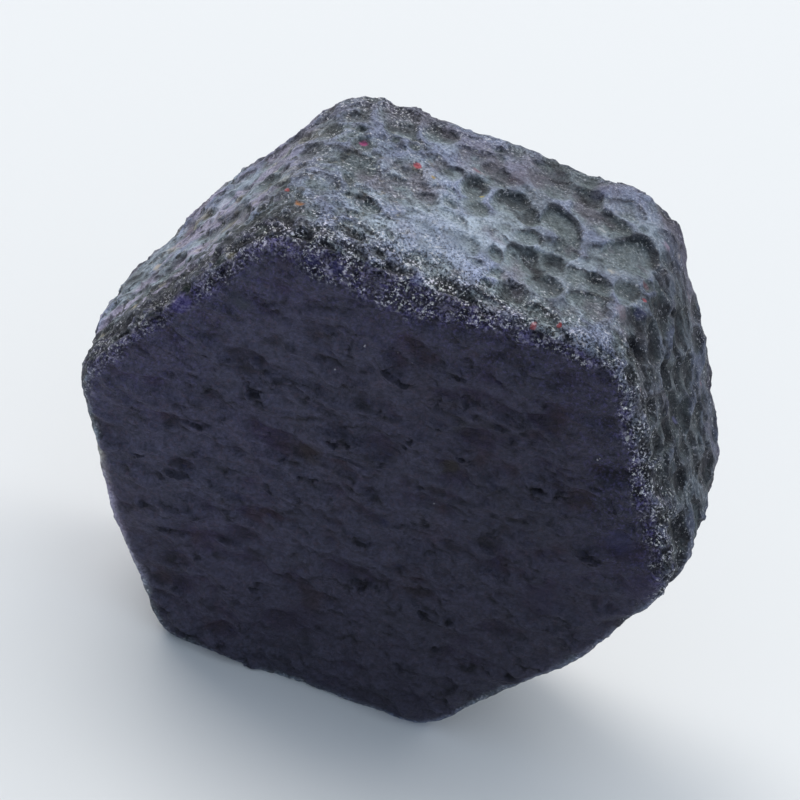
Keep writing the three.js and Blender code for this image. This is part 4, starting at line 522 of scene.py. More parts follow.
def relief(p, n):
    """Rise along the normal, in mm, and the masks that the material reads."""
    pf = p.astype(np.float32)
    w = wander(p) + 0.17 * np.stack([noise(pf, 0.8, 35), noise(pf, 0.8, 36), noise(pf, 0.8, 37)], 1)
    w += 0.06 * np.stack([noise(pf, 0.33, 45), noise(pf, 0.33, 46), noise(pf, 0.33, 47)], 1)
    # along the middle of the upper front edge the grey of the prism face reaches down over the edge
    over = smooth(0.0, 4.0, p[:, 0]) * smooth(12.5, 10.5, p[:, 0]) * smooth(-2.5, 2.5, p[:, 2] - CENTRE[2])
    front = smooth(0.70 + 0.12 * over, 0.97 + 0.02 * over, -n[:, 1])
    back = smooth(0.70, 0.97, n[:, 1])
    basal = front + back
    prism = 1 - basal
    facing = (n @ NORMALS.T).max(1)
    edge = smooth(0.995, 0.93, facing)  # 1 on the rounded edges, 0 on the faces
    left = smooth(1.5, -3.5, p[:, 0] + 0.5 * p[:, 1])  # the rougher, finely eaten half of the upper face
    side = smooth(0.35, 0.75, np.abs(n[:, 0]))  # the prism faces to the left and right
    right = smooth(0.35, 0.75, n[:, 0])
    way = steep_way(n)
    gaps = REACHES - (p - CENTRE) @ NORMALS.T
    # the lower front edges and the far right edge are worn smooth
    below = smooth(1.5, -1.5, p[:, 2] - CENTRE[2])
    tidy = (1 - 0.80 * below * smooth(3.2, 1.0, gaps[:, 5])) * (1 - 0.55 * right * smooth(1.0, 4.0, p[:, 1]))

    # the pits found on the real faces, and the ones that fill in the faces turned away
    dish, lips, walls = traced_dishes(w, n, PITS)
    more, more_lips, more_walls = traced_dishes(w, n, PITS_BELOW)
    dish, lips, walls = np.maximum(dish, more) * tidy, np.maximum(lips, more_lips), np.maximum(walls, more_walls)
    open_floor = smooth(0.06, 0.25, dish) * (1 - walls)

    # corrosion dishes in four sizes, each layer bent by its own noise
    warp = np.stack([noise(pf, 1.3, 31), noise(pf, 1.3, 32), noise(pf, 1.3, 33)], 1)
    bent = pf + 0.34 * warp
    big, big_walls = eaten(bent, way, 1.75, (0.50, 0.82), (0.10, 0.40), 0.15, 3, 0.8, 2.6, True)
    mid, mid_walls = eaten(bent * 1.01 + 3.7, way, 0.86, (0.42, 0.76), (0.06, 0.26), 0.20, 5, 0.7, 2.2, True)
    warp2 = np.stack([noise(pf, 0.45, 41), noise(pf, 0.45, 42), noise(pf, 0.45, 43)], 1)
    bent2 = pf + 0.11 * warp2 + 0.12 * warp
    small = eaten(bent2, way, (0.50, 0.40, 0.40), (0.45, 0.72), (0.015, 0.075), 0.2, 9)
    slots = eaten(bent2 + 5.1, way, (1.15, 0.80, 0.80), (0.24, 0.42), (0.07, 0.24), 0.50, 17, 0.45, 1.2)
    grain = eaten(pf + 0.03 * warp2 + 1.3, way, 0.21, (0.5, 0.8), (0.2, 1.0), 0.0, 13, 0.0, 1.0)

    patch = smooth(-0.35, 0.35, fbm(pf, 3.2, 2, 51))  # some stretches stay smooth
    calm = 1 - 0.75 * (1 - left) * (1 - patch)
    big, mid = big * (1 - 0.35 * left), mid * (0.45 + 0.55 * np.maximum(patch, left))
    cell_walls = np.where(big > mid, big_walls, 0.8 * mid_walls * (0.45 + 0.55 * np.maximum(patch, left)))
    on_prism = np.maximum(big, mid)
    on_prism = on_prism + small * (0.35 + 0.65 * left) * calm
    on_prism = np.maximum(on_prism, slots * (0.25 + 0.75 * left))
    on_prism *= (1 + 0.40 * right) * tidy
    plain = np.exp(-(((p - [-1.6, -2.1, 27.0]) ** 2).sum(1) / 2.3**2))  # the smooth stretch of the upper face
    on_prism *= 1 - 0.8 * plain
    cell_walls *= on_prism > dish
    dish = np.maximum(dish, prism * on_prism)
    lumps = 1 - 2.2 * np.abs(fbm(bent, np.array([1.5, 1.0, 1.5], np.float32), 2, 101, 0.45))

    # the basal faces: hammered pads with shingle-like steps along X that face down
    pads = eaten(bent * 1.02 + 9.1, way, (2.3, 2.2, 1.25), (0.5, 0.78), (0.03, 0.13), 0.15, 21, 0.75, 1.3)
    dents = eaten(bent2 * 1.01 + 2.7, way, (0.95, 0.9, 0.52), (0.42, 0.7), (0.008, 0.055), 0.3, 23, 0.8, 1.2)
    rolls = fbm(pf, np.array([2.6, 2.0, 1.15], np.float32), 4, 61, 0.55)
    hammered = 0.29 * rolls - 1.55 * pads - 1.3 * dents
    ridge = fbm(pf, np.array([3.0, 2.0, 1.3], np.float32), 4, 71, 0.55)
    t = (p[:, 2] + 0.18 * p[:, 0]) / 2.1 + 1.35 * ridge
    saw = 1 - (t - np.floor(t))
    saw = saw * smooth(0.0, 0.05, 1 - saw)
    breaks = smooth(0.0, 0.4, noise(pf, np.array([1.9, 2.0, 1.1], np.float32), 81))
    t2 = (p[:, 2] + 0.28 * p[:, 0]) / 0.9 + 1.3 * fbm(pf, np.array([1.4, 1.5, 0.7], np.float32), 3, 75)
    saw2 = 1 - (t2 - np.floor(t2))
    saw2 = saw2 * smooth(0.0, 0.09, 1 - saw2)
    breaks2 = smooth(-0.06, 0.32, noise(pf, np.array([0.9, 1.0, 0.6], np.float32), 83))
    steps = 0.32 * saw * breaks + 0.15 * saw2 * breaks2
    at_step = np.minimum(t - np.floor(t), 1 - (t - np.floor(t)))
    at_step2 = np.minimum(t2 - np.floor(t2), 1 - (t2 - np.floor(t2)))
    # the lines along the step edges, where shade is painted
    crease_shade = np.maximum(breaks * np.exp(-((at_step / 0.060) ** 2)), 0.85 * breaks2 * np.exp(-((at_step2 / 0.10) ** 2)))

    ledges, lip_shadows = traced_ledges(p, n, LEDGES)
    crease_shade = basal * np.maximum(crease_shade, lip_shadows)
    rise = waves(p) - dish + lips + prism * (0.05 + 0.10 * right) * tidy * lumps
    rise += basal * (hammered + steps - 0.10) + ledges
    rise += (0.9 * prism + 0.2) * 0.085 * fbm(pf, 0.95, 3, 91, 0.6)
    # how far each point is from the edge of the basal face: + on the basal face, - on the prism faces, in mm
    along_edge = np.maximum(np.minimum.reduce([gaps[:, i] for i in (0, 1, 2, 3, 4)]), 0)
    from_edge = along_edge - np.maximum(np.minimum(gaps[:, 5], gaps[:, 6]), 0)
    around = n[:, 2] / np.maximum(np.hypot(n[:, 0], n[:, 2]), 1e-6)
    ragged = 0.9 * fbm(pf, 2.2, 3, 97) + 0.45 * fbm(pf, 0.6, 2, 98)
    outer = smooth(-2.5, 2.5, p[:, 2] - CENTRE[2])
    down = 0.85 + 0.95 * smooth(-9.5, -7.0, p[:, 0]) * smooth(3.0, -0.5, p[:, 0])
    band = smooth(-2.3, -0.7, from_edge + ragged - 1.15 * over) * smooth(0.35, -0.15, from_edge + 0.6 * ragged - down) * outer
    speckled = smooth(-2.2, -0.4, from_edge + ragged) * smooth(6.0, 0.8, from_edge + 1.6 * ragged) * outer
    grainy = np.clip((0.6 * edge + 0.8 * band) * (1 - 0.6 * smooth(-1.0, 1.5, p[:, 1])) + 0.35 * prism * left, 0, 1)
    rise -= grain * (0.012 + 0.040 * grainy)
    rise += (0.012 + 0.03 * grainy) * noise(pf, 0.24, 95)
    pocks = eaten(bent2 * 1.03 + 6.3, way, 0.62, (0.40, 0.75), (0.05, 0.26), 0.35, 27, 0.5, 1.8)
    holes = eaten(bent * 0.97 + 4.9, way, 1.15, (0.40, 0.70), (0.08, 0.34), 0.30, 29, 0.7, 2.0) * prism
    pocks = np.maximum(pocks, holes)
    seen = 1 - 0.95 * smooth(-1.0, 1.5, p[:, 1])
    band *= 1 - 0.70 * smooth(-1.0, 1.5, p[:, 1])  # the granular edge is far weaker round the back
    speckled *= 1 - 0.70 * smooth(-1.0, 1.5, p[:, 1])
    rise += band * seen * (0.10 * fbm(pf, 0.8, 3, 105, 0.6) - 0.8 * pocks)
    fore = prism * smooth(4.4, 1.0, gaps[:, 5])
    masks = {
        "fore": fore,
        "cavity": np.clip(dish / 0.3, 0, 1),
        "edge": edge,
        "basal": basal,
        "left": left,
        "band": band,
        "speckled": speckled,
        # painted shade in the pocks of the granular edge
        "pock": np.clip(band * (pocks - 0.03) / 0.15, 0, 1),
        "side": side - 0.45 * (side - right),
        "floor": open_floor,
        "aft": prism * smooth(3.4, 0.7, gaps[:, 6]),
        # painted shade in the slot pits
        "pit_shade": np.clip((slots * (0.15 + 0.85 * left) - 0.03) / 0.10, 0, 1) * prism,
        "rise": rise,
        # painted shade along the steps, under the ledge lips and on the steep walls of the dishes
        "crease_shade": np.maximum(np.maximum(crease_shade, walls * (1 - 0.75 * basal)), prism * cell_walls),
        "swell": np.clip(0.5 + (hammered + steps + 0.14) / 0.6, 0, 1) * basal,
    }
    return rise, masks


def build_points(u):
    p, n = base_surface(u)
    rise, masks = relief(p, n)
    grown = np.zeros(len(p))
    for x, y, z, height in SWELLINGS:
        apart = ((p - [x, y, z]) ** 2).sum(1)
        near = apart < (4.5 * SWELL_RADIUS) ** 2
        grown[near] += height * np.exp(-apart[near] / (2 * SWELL_RADIUS**2))
    out = p + n * rise[:, None] + u * grown[:, None]
    out[:, 2] = np.maximum(out[:, 2] - BED_DROP, 0)
    return out + OFFSET, masks


def mesh_from(name, points, tris):
    mesh = bpy.data.meshes.new(name)
    mesh.vertices.add(len(points))
    mesh.vertices.foreach_set("co", points.astype(np.float32).ravel())
    mesh.loops.add(len(tris) * 3)
    mesh.loops.foreach_set("vertex_index", tris.astype(np.int32).ravel())
    mesh.polygons.add(len(tris))
    mesh.polygons.foreach_set("loop_start", np.arange(0, len(tris) * 3, 3, dtype=np.int32))
    mesh.update(calc_edges=True)
    return mesh


def collection_link(obj):
    bpy.context.scene.collection.objects.link(obj)
    return obj


COUNT = 215
MOST_FACES = 194000

ball, ball_tris = geodesic(COUNT)
ball = ball * SPREAD
ball /= np.linalg.norm(ball, axis=1)[:, None]
points, masks = build_points(ball)
dense = mesh_from("sapphire_dense", points * MM, ball_tris)
for key, value in masks.items():
    layer = dense.attributes.new(key, "FLOAT", "POINT")
    layer.data.foreach_set("value", value.astype(np.float32))
crystal = collection_link(bpy.data.objects.new("sapphire_surface", dense))
thin = crystal.modifiers.new("thin", "DECIMATE")
thin.ratio = MOST_FACES / len(ball_tris)
graph = bpy.context.evaluated_depsgraph_get()
mesh = bpy.data.meshes.new_from_object(crystal.evaluated_get(graph), depsgraph=graph)
crystal.modifiers.clear()
crystal.data = mesh
bpy.data.meshes.remove(dense)
mesh.name = "sapphire_surface"
mesh.polygons.foreach_set("use_smooth", np.ones(len(mesh.polygons), bool))

# how the finished surface curves, so that wear and a painted highlight can go on the rims and painted shade in the
# hollows
count = len(mesh.vertices)
co = np.empty(count * 3, np.float32)
mesh.vertices.foreach_get("co", co)
co = co.reshape(-1, 3) / MM
no = np.empty(count * 3, np.float32)
mesh.vertex_normals.foreach_get("vector", no)
no = no.reshape(-1, 3)
ends = np.empty(len(mesh.edges) * 2, np.int32)
mesh.edges.foreach_get("vertices", ends)
e0, e1 = ends.reshape(-1, 2).T
bend = np.zeros(count)
spread = np.zeros(count)
gap = co[e1] - co[e0]
length = np.linalg.norm(gap, axis=1) + 1e-6
np.add.at(bend, e0, -(gap * no[e0]).sum(1) / length)
np.add.at(bend, e1, (gap * no[e1]).sum(1) / length)
np.add.at(spread, e0, 1)
np.add.at(spread, e1, 1)
bend /= np.maximum(spread, 1)
for _ in range(2):
    total = bend.copy()
    many = np.ones(count)
    np.add.at(total, e0, bend[e1])
    np.add.at(total, e1, bend[e0])
    np.add.at(many, e0, 1)
    np.add.at(many, e1, 1)
    bend = total / many
height = np.empty(count, np.float32)
mesh.attributes["rise"].data.foreach_get("value", height)
level = height.astype(float)
for _ in range(45):
    total = level + np.bincount(e0, level[e1], count) + np.bincount(e1, level[e0], count)
    level = total / (1 + spread)
stands = height - level
for key, value in (("rim", np.clip(bend * 4, 0, 1)), ("hollow", np.clip(-bend * 4, 0, 1)),
                   ("sink", np.clip(-stands / 0.17, 0, 1)), ("crest", np.clip(stands / 0.11, 0, 1))):
    layer = mesh.attributes.new(key, "FLOAT", "POINT")
    layer.data.foreach_set("value", value.astype(np.float32))
print("surface faces", len(mesh.polygons), "attributes", [a.name for a in mesh.attributes])

# ------------------------------------------------------------------ the finish


class Nodes:
    """A short way to write a node tree."""

    def __init__(self, material):
        material.use_nodes = True
        self.tree = material.node_tree
        self.tree.nodes.clear()

    def add(self, kind, inputs=None, **props):
        node = self.tree.nodes.new(kind)
        for key, value in props.items():
            setattr(node, key, value)
        for key, value in (inputs or {}).items():
            self.put(node.inputs[key], value)
        return node

    def put(self, socket, value):
        if isinstance(value, bpy.types.NodeSocket):
            self.tree.links.new(value, socket)
        else:
            socket.default_value = value

    def maths(self, operation, a, b=0.0, c=0.0, clamp=False):
        node = self.add("ShaderNodeMath", operation=operation, use_clamp=clamp)
        for i, value in enumerate((a, b, c)):
            self.put(node.inputs[i], value)
        return node.outputs[0]

    def vector(self, operation, a, b=(0, 0, 0), scale=None):
        node = self.add("ShaderNodeVectorMath", operation=operation)
        self.put(node.inputs[0], a)
        self.put(node.inputs[1], b)
        if scale is not None:
            self.put(node.inputs["Scale"], scale)
        return node.outputs["Value"] if operation in ("LENGTH", "DISTANCE", "DOT_PRODUCT") else node.outputs[0]

    def mix(self, factor, a, b, blend="MIX"):
        node = self.add("ShaderNodeMix", data_type="RGBA", blend_type=blend)
        self.put(node.inputs["Factor"], factor)
        self.put(node.inputs[6], a)
        self.put(node.inputs[7], b)
        return node.outputs[2]

    def span(self, value, low, high, to_low=0.0, to_high=1.0, soft=True):
        node = self.add("ShaderNodeMapRange", interpolation_type="SMOOTHSTEP" if soft else "LINEAR")
        for key, v in (("Value", value), ("From Min", low), ("From Max", high), ("To Min", to_low), ("To Max", to_high)):
            self.put(node.inputs[key], v)
        return node.outputs["Result"]

    def noise(self, at, scale, detail=2.0, rough=0.5, colour=False):
        node = self.add("ShaderNodeTexNoise", {"Vector": at, "Scale": scale, "Detail": detail, "Roughness": rough})
        return node.outputs["Color" if colour else "Fac"]

    def mask(self, name):
        return self.add("ShaderNodeAttribute", attribute_name=name).outputs["Fac"]


def rgb(r, g, b):
    return (r, g, b, 1.0)


# where a painted sheen is centred, on the smooth stretch of the upper face
SHEEN_SPOT = (-1.4, -2.6, 26.8)
# single grains and stains: middle in mm, radius in mm, colour, strength, and the axis they run into the stone along
# (1 is Y, 2 is Z, 0 is none)
SPECKS = [
    (-6.4, 1.98, 27.46, 0.28, (0.42, 0.06, 0.22), 0.68, 2),
    (-3.55, 1.55, 27.4, 0.254, (0.5, 0.05, 0.07), 0.68, 2),
    (-8.95, -2.54, 26.17, 0.16, (0.55, 0.1, 0.1), 0.68, 0),
    (-8.19, -3.82, 26.58, 0.218, (0.5, 0.2, 0.05), 0.85, 2),
    (-0.79, 3, 27.48, 0.175, (0.35, 0.16, 0.2), 0.7, 2),
    (4.27, -5.88, 25.95, 0.207, (0.35, 0.05, 0.06), 0.64, 1),
    (5.41, -5.26, 26.27, 0.148, (0.42, 0.06, 0.07), 0.68, 2),
    (10.1, -5.06, 24.15, 0.169, (0.3, 0.05, 0.07), 0.64, 0),
    (8.94, -0.79, 26.19, 0.151, (0.45, 0.07, 0.09), 0.64, 2),
    (10.07, -2.19, 24.74, 0.173, (0.06, 0.08, 0.4), 0.45, 0),
    (-3.62, -2.18, 26.96, 0.162, (0.3, 0.26, 0.16), 0.7, 2),
    (-2.65, 1.06, 27.31, 0.145, (0.42, 0.3, 0.1), 0.8, 2),
    (-0.14, 1.41, 27.27, 0.145, (0.42, 0.34, 0.1), 0.8, 2),
    (-14.14, -4.16, 17.69, 0.34, (0.34, 0.29, 0.2), 0.8, 0),
    (-13.65, -3.66, 18.5, 0.292, (0.26, 0.22, 0.16), 0.6, 0),
    (-10.44, -6.01, 23.89, 0.284, (0.22, 0.2, 0.14), 0.5, 0),
    (-13.32, -5.15, 19.2, 0.154, (0.5, 0.52, 0.5), 0.8, 0),
    (-11.92, -5.08, 21.66, 0.144, (0.48, 0.48, 0.5), 0.8, 0),
    (5.96, 2.35, 27.18, 0.204, (0.44, 0.46, 0.5), 0.75, 2),
    (6.36, 3.86, 27.34, 0.176, (0.4, 0.42, 0.5), 0.7, 2),
    (7.01, -0.23, 26.8, 0.202, (0.5, 0.48, 0.46), 0.75, 2),
    (9.25, 3.6, 26.6, 0.244, (0.34, 0.25, 0.34), 0.7, 2),
    (8.81, 0.16, 26.4, 0.241, (0.3, 0.14, 0.18), 0.5, 2),
    (3.01, -6.12, 16.53, 0.581, (0.034, 0.028, 0.016), 0.5, 1),
    (0.96, -6.11, 12.05, 0.295, (0.008, 0.01, 0.04), 0.7, 1),
    (12.03, -5.93, 15.69, 0.971, (0.013, 0.015, 0.06), 0.5, 1),
    (2.77, -6.15, 19.03, 0.48, (0.032, 0.032, 0.04), 0.45, 1),
    (-9.44, -6.38, 21.82, 0.571, (0.03, 0.034, 0.05), 0.6, 1),
    (-1.3, -6.25, 22, 0.061, (0.5, 0.5, 0.55), 0.63, 1),
    (-0.47, -6.23, 21.74, 0.054, (0.45, 0.45, 0.5), 0.63, 1),
    (-8.45, -6.35, 19.06, 0.065, (0.5, 0.5, 0.55), 0.63, 1),
    (-7.42, -6.33, 19.01, 0.058, (0.45, 0.45, 0.5), 0.63, 1),
    (-3.85, -6.27, 19.91, 0.061, (0.45, 0.45, 0.5), 0.63, 1),
    (-2.9, -6.28, 21.92, 0.068, (0.5, 0.5, 0.55), 0.63, 1),
    (9.53, -6.03, 20.22, 0.065, (0.45, 0.42, 0.45), 0.63, 1),
    (10.4, -5.92, 21.7, 0.153, (0.55, 0.55, 0.56), 0.9, 1),
    (12.3, -5.6, 19.5, 0.144, (0.45, 0.45, 0.48), 0.85, 1),
    (9.42, -6.03, 20.1, 0.057, (0.4, 0.4, 0.45), 0.63, 1),
    (2.9, -6.09, 14.15, 0.055, (0.4, 0.4, 0.42), 0.63, 1),
    (-6.56, -6.31, 25.41, 0.47, (0.035, 0.04, 0.22), 0.29, 1),
    (-5.31, -6.27, 25.58, 0.423, (0.04, 0.04, 0.22), 0.29, 1),
    (-1.62, -5.81, 26.31, 0.47, (0.05, 0.05, 0.24), 0.29, 2),
    (-11.28, -5.55, 22.77, 0.286, (0.06, 0.07, 0.26), 0.26, 0),
    (13.8, -5.83, 13.43, 1.076, (0.022, 0.014, 0.045), 0.4, 1),
    (9.45, -5.94, 10.75, 1.282, (0.02, 0.013, 0.036), 0.35, 1),
    (-1.33, -6.07, 4.28, 1.206, (0.02, 0.013, 0.036), 0.35, 1),
    (-11.89, -6.27, 20.39, 0.574, (0.06, 0.045, 0.2), 0.45, 1),
    (-3.62, -6.21, 14.49, 0.779, (0.022, 0.016, 0.014), 0.45, 1),
    (1.25, 3.68, 27.5, 0.682, (0.13, 0.1, 0.14), 0.4, 2),
    (5.19, 4.88, 27.51, 0.49, (0.05, 0.05, 0.11), 0.4, 2),
    (-0.52, -2.48, 26.83, 0.762, (0.15, 0.185, 0.235), 0.5, 2),
    (-1.86, -3.66, 26.73, 0.569, (0.13, 0.165, 0.19), 0.4, 2),
    (5.05, -3.72, 26.5, 0.569, (0.13, 0.16, 0.22), 0.4, 2),
    (3.5, -6.17, 22.82, 0.053, (0.075, 0.072, 0.105), 0.42, 1),
    (3.58, -6.17, 22.58, 0.053, (0.075, 0.072, 0.105), 0.42, 1),
    (3.62, -6.17, 22.3, 0.053, (0.075, 0.072, 0.105), 0.42, 1),
    (3.6, -6.16, 22.01, 0.054, (0.075, 0.072, 0.105), 0.42, 1),
    (3.6, -6.16, 21.72, 0.054, (0.075, 0.072, 0.105), 0.42, 1),
    (3.66, -6.16, 21.46, 0.054, (0.075, 0.072, 0.105), 0.42, 1),
    (3.75, -6.15, 21.22, 0.054, (0.075, 0.072, 0.105), 0.42, 1),
    (3.82, -6.15, 20.96, 0.054, (0.075, 0.072, 0.105), 0.42, 1),
    (3.83, -6.14, 20.67, 0.054, (0.075, 0.072, 0.105), 0.42, 1),
    (-11.96, 1.96, 21.04, 0.543, (0.52, 0.54, 0.68), 0.75, 0),
    (-12.22, 1.36, 20.63, 0.444, (0.5, 0.52, 0.66), 0.6, 0),
    (-11.68, -2.15, 21.87, 0.339, (0.44, 0.44, 0.56), 0.6, 0),
    (-11.85, -2.81, 21.61, 0.29, (0.4, 0.41, 0.52), 0.5, 0),
    (-10.05, 1.1, 24.46, 0.292, (0.46, 0.41, 0.31), 0.6, 0),
    (-13.95, -0.36, 17.73, 0.346, (0.44, 0.38, 0.29), 0.7, 0),
    (-13.4, 2.36, 18.48, 0.448, (0.2, 0.15, 0.22), 0.6, 0),
    (-10.86, -5.82, 23.38, 0.285, (0.022, 0.032, 0.03), 0.85, 0),
    (-9.89, -2.54, 24.97, 0.239, (0.022, 0.032, 0.03), 0.85, 0),
    (-11.98, -6.05, 21.13, 0.286, (0.02, 0.03, 0.028), 0.85, 1),
    (-12.38, -6.14, 20.2, 0.215, (0.02, 0.028, 0.028), 0.85, 1),
    (-11.69, -5.57, 22.04, 0.239, (0.02, 0.028, 0.028), 0.85, 0),
    (-9.6, -5.44, 25.46, 0.283, (0.03, 0.04, 0.036), 0.8, 0),
    (-9.1, -1.76, 26.02, 0.239, (0.022, 0.03, 0.03), 0.8, 0),
    (-15.12, -1.86, 15.68, 0.296, (0.06, 0.065, 0.048), 0.7, 0),
    (-13.13, -6.07, 19.06, 0.24, (0.03, 0.036, 0.032), 0.8, 1),
    (-11.87, -5.18, 21.75, 0.065, (0.6, 0.58, 0.62), 0.63, 0),
    (-9.03, -6.38, 21.63, 0.428, (0.036, 0.044, 0.058), 0.6, 1),
    (-7.76, -6.35, 24.9, 0.565, (0.03, 0.02, 0.036), 0.5, 1),
    (-11.58, -6.3, 20.62, 0.287, (0.11, 0.09, 0.26), 0.5, 1),
    (8.06, -2.46, 26.35, 0.477, (0.33, 0.26, 0.3), 0.5, 2),
    (8.98, -1.63, 26.05, 0.383, (0.055, 0.06, 0.15), 0.55, 2),
    (10.85, 0.67, 23.92, 0.219, (0.46, 0.48, 0.48), 0.65, 0),
    (10.11, 4.45, 25.83, 0.197, (0.46, 0.42, 0.4), 0.65, 0),
    (12.77, -0.58, 20.1, 0.22, (0.22, 0.22, 0.44), 0.65, 0),
    (13.28, 3.3, 19.87, 0.199, (0.34, 0.18, 0.24), 0.65, 0),
    (10.77, -5.13, 22.93, 0.191, (0.42, 0.44, 0.6), 0.65, 0),
    (11.19, 4.04, 23.92, 0.247, (0.26, 0.21, 0.27), 0.5, 0),
    (10.64, 1.49, 24.45, 0.244, (0.02, 0.022, 0.026), 0.75, 0),
    (9.47, 0.27, 25.93, 0.193, (0.02, 0.024, 0.028), 0.75, 0),
    (15.31, 2.83, 15.87, 0.352, (0.022, 0.024, 0.028), 0.7, 0),
    (12.59, -2.13, 20.15, 0.292, (0.022, 0.024, 0.028), 0.7, 0),
]


GREY_LOW, GREY_HIGH = rgb(0.124, 0.151, 0.177), rgb(0.347, 0.415, 0.505)
GREY_FLOOR, GREY_VIOLET = rgb(0.165, 0.204, 0.216), rgb(0.225, 0.260, 0.440)
GREY_AFT = rgb(0.185, 0.160, 0.225)
GREY_MAUVE, OCHRE = rgb(0.190, 0.150, 0.215), rgb(0.290, 0.240, 0.160)
SLATE_LOW, SLATE_HIGH = rgb(0.016, 0.014, 0.028), rgb(0.042, 0.040, 0.073)
SLATE_VIOLET, SLATE_BROWN = rgb(0.035, 0.023, 0.065), rgb(0.042, 0.023, 0.036)
# a blue stain, and a painted lit tone for the raised pads of the basal faces
SLATE_BLUE, SLATE_SWELL_LIT = rgb(0.020, 0.023, 0.080), rgb(0.052, 0.052, 0.088)
# a dark tone for the real streaks of the right face, and for painted shade in hollows and pits
# near-black for real cracks and dark grains, and for painted shade in creases and pocks
BLACK_CRACK_AND_SHADE, DARK_STREAK_AND_SHADE = rgb(0.004, 0.004, 0.007), rgb(0.014, 0.014, 0.020)
DEEP_LOW, DEEP_HIGH = rgb(0.014, 0.010, 0.030), rgb(0.092, 0.080, 0.225)
DEEP_PALE = rgb(0.300, 0.285, 0.420)
DARK_GREEN = rgb(0.038, 0.048, 0.046)
SLATE_MAUVE = rgb(0.068, 0.047, 0.072)
# the dark tone of the painted shade towards the foot of the basal faces
SLATE_FOOT_SHADE = rgb(0.026, 0.024, 0.036)
# pale mauve, partly the stone's colour and partly a painted sheen
MAUVE_AND_SHEEN, STRAW = rgb(0.390, 0.345, 0.500), rgb(0.400, 0.350, 0.250)
# pale tones for wear and a painted highlight on rims and crests
WEAR_AND_HIGHLIGHT_PRISM, WEAR_AND_HIGHLIGHT_BASAL = rgb(0.330, 0.370, 0.500), rgb(0.060, 0.058, 0.100)
# pale grain colours, partly real grains and partly painted glints
GRAIN_GLINT_GREEN, GRAIN_GLINT_VIOLET = rgb(0.76, 0.78, 0.72), rgb(0.80, 0.78, 0.96)


def is_grain(row):
    """Whether a speck is a small or a red grain, which the material draws. The others are laid on the points."""
    return row[3] < 0.16 or row[4][0] > 2.5 * row[4][1]


def lay_stains():
    """Lay the larger stains over each other on the mesh's points: colour times amount, and amount."""
    at = co + 0.12 * np.stack([noise(co, 0.4, 201), noise(co, 0.4, 202), noise(co, 0.4, 203)], 1)
    tints, amount = np.zeros((count, 3)), np.zeros(count)
    for x, y, z, radius, tint, strength, axis in SPECKS:
        if is_grain((x, y, z, radius, tint)):
            continue
        apart = at - [x, y, z]
        out = normal_at(np.array([x, y, z]) - OFFSET + [0, 0, BED_DROP])
        deep = apart @ out  # a stain runs some way into the stone, so that it lies in a pit too
        away = np.sqrt(np.maximum((apart**2).sum(1) - deep**2, 0) + (0.2 * deep) ** 2)
        share = strength * smooth(radius, 0.5 * radius, away)
        tints = tints * (1 - share)[:, None] + np.outer(share, tint)
        amount = amount * (1 - share) + share
    layer = mesh.attributes.new("stain", "FLOAT_COLOR", "POINT")
    layer.data.foreach_set("color", np.concatenate([tints, np.ones((count, 1))], 1).astype(np.float32).ravel())
    layer = mesh.attributes.new("stained", "FLOAT", "POINT")
    layer.data.foreach_set("value", amount.astype(np.float32))


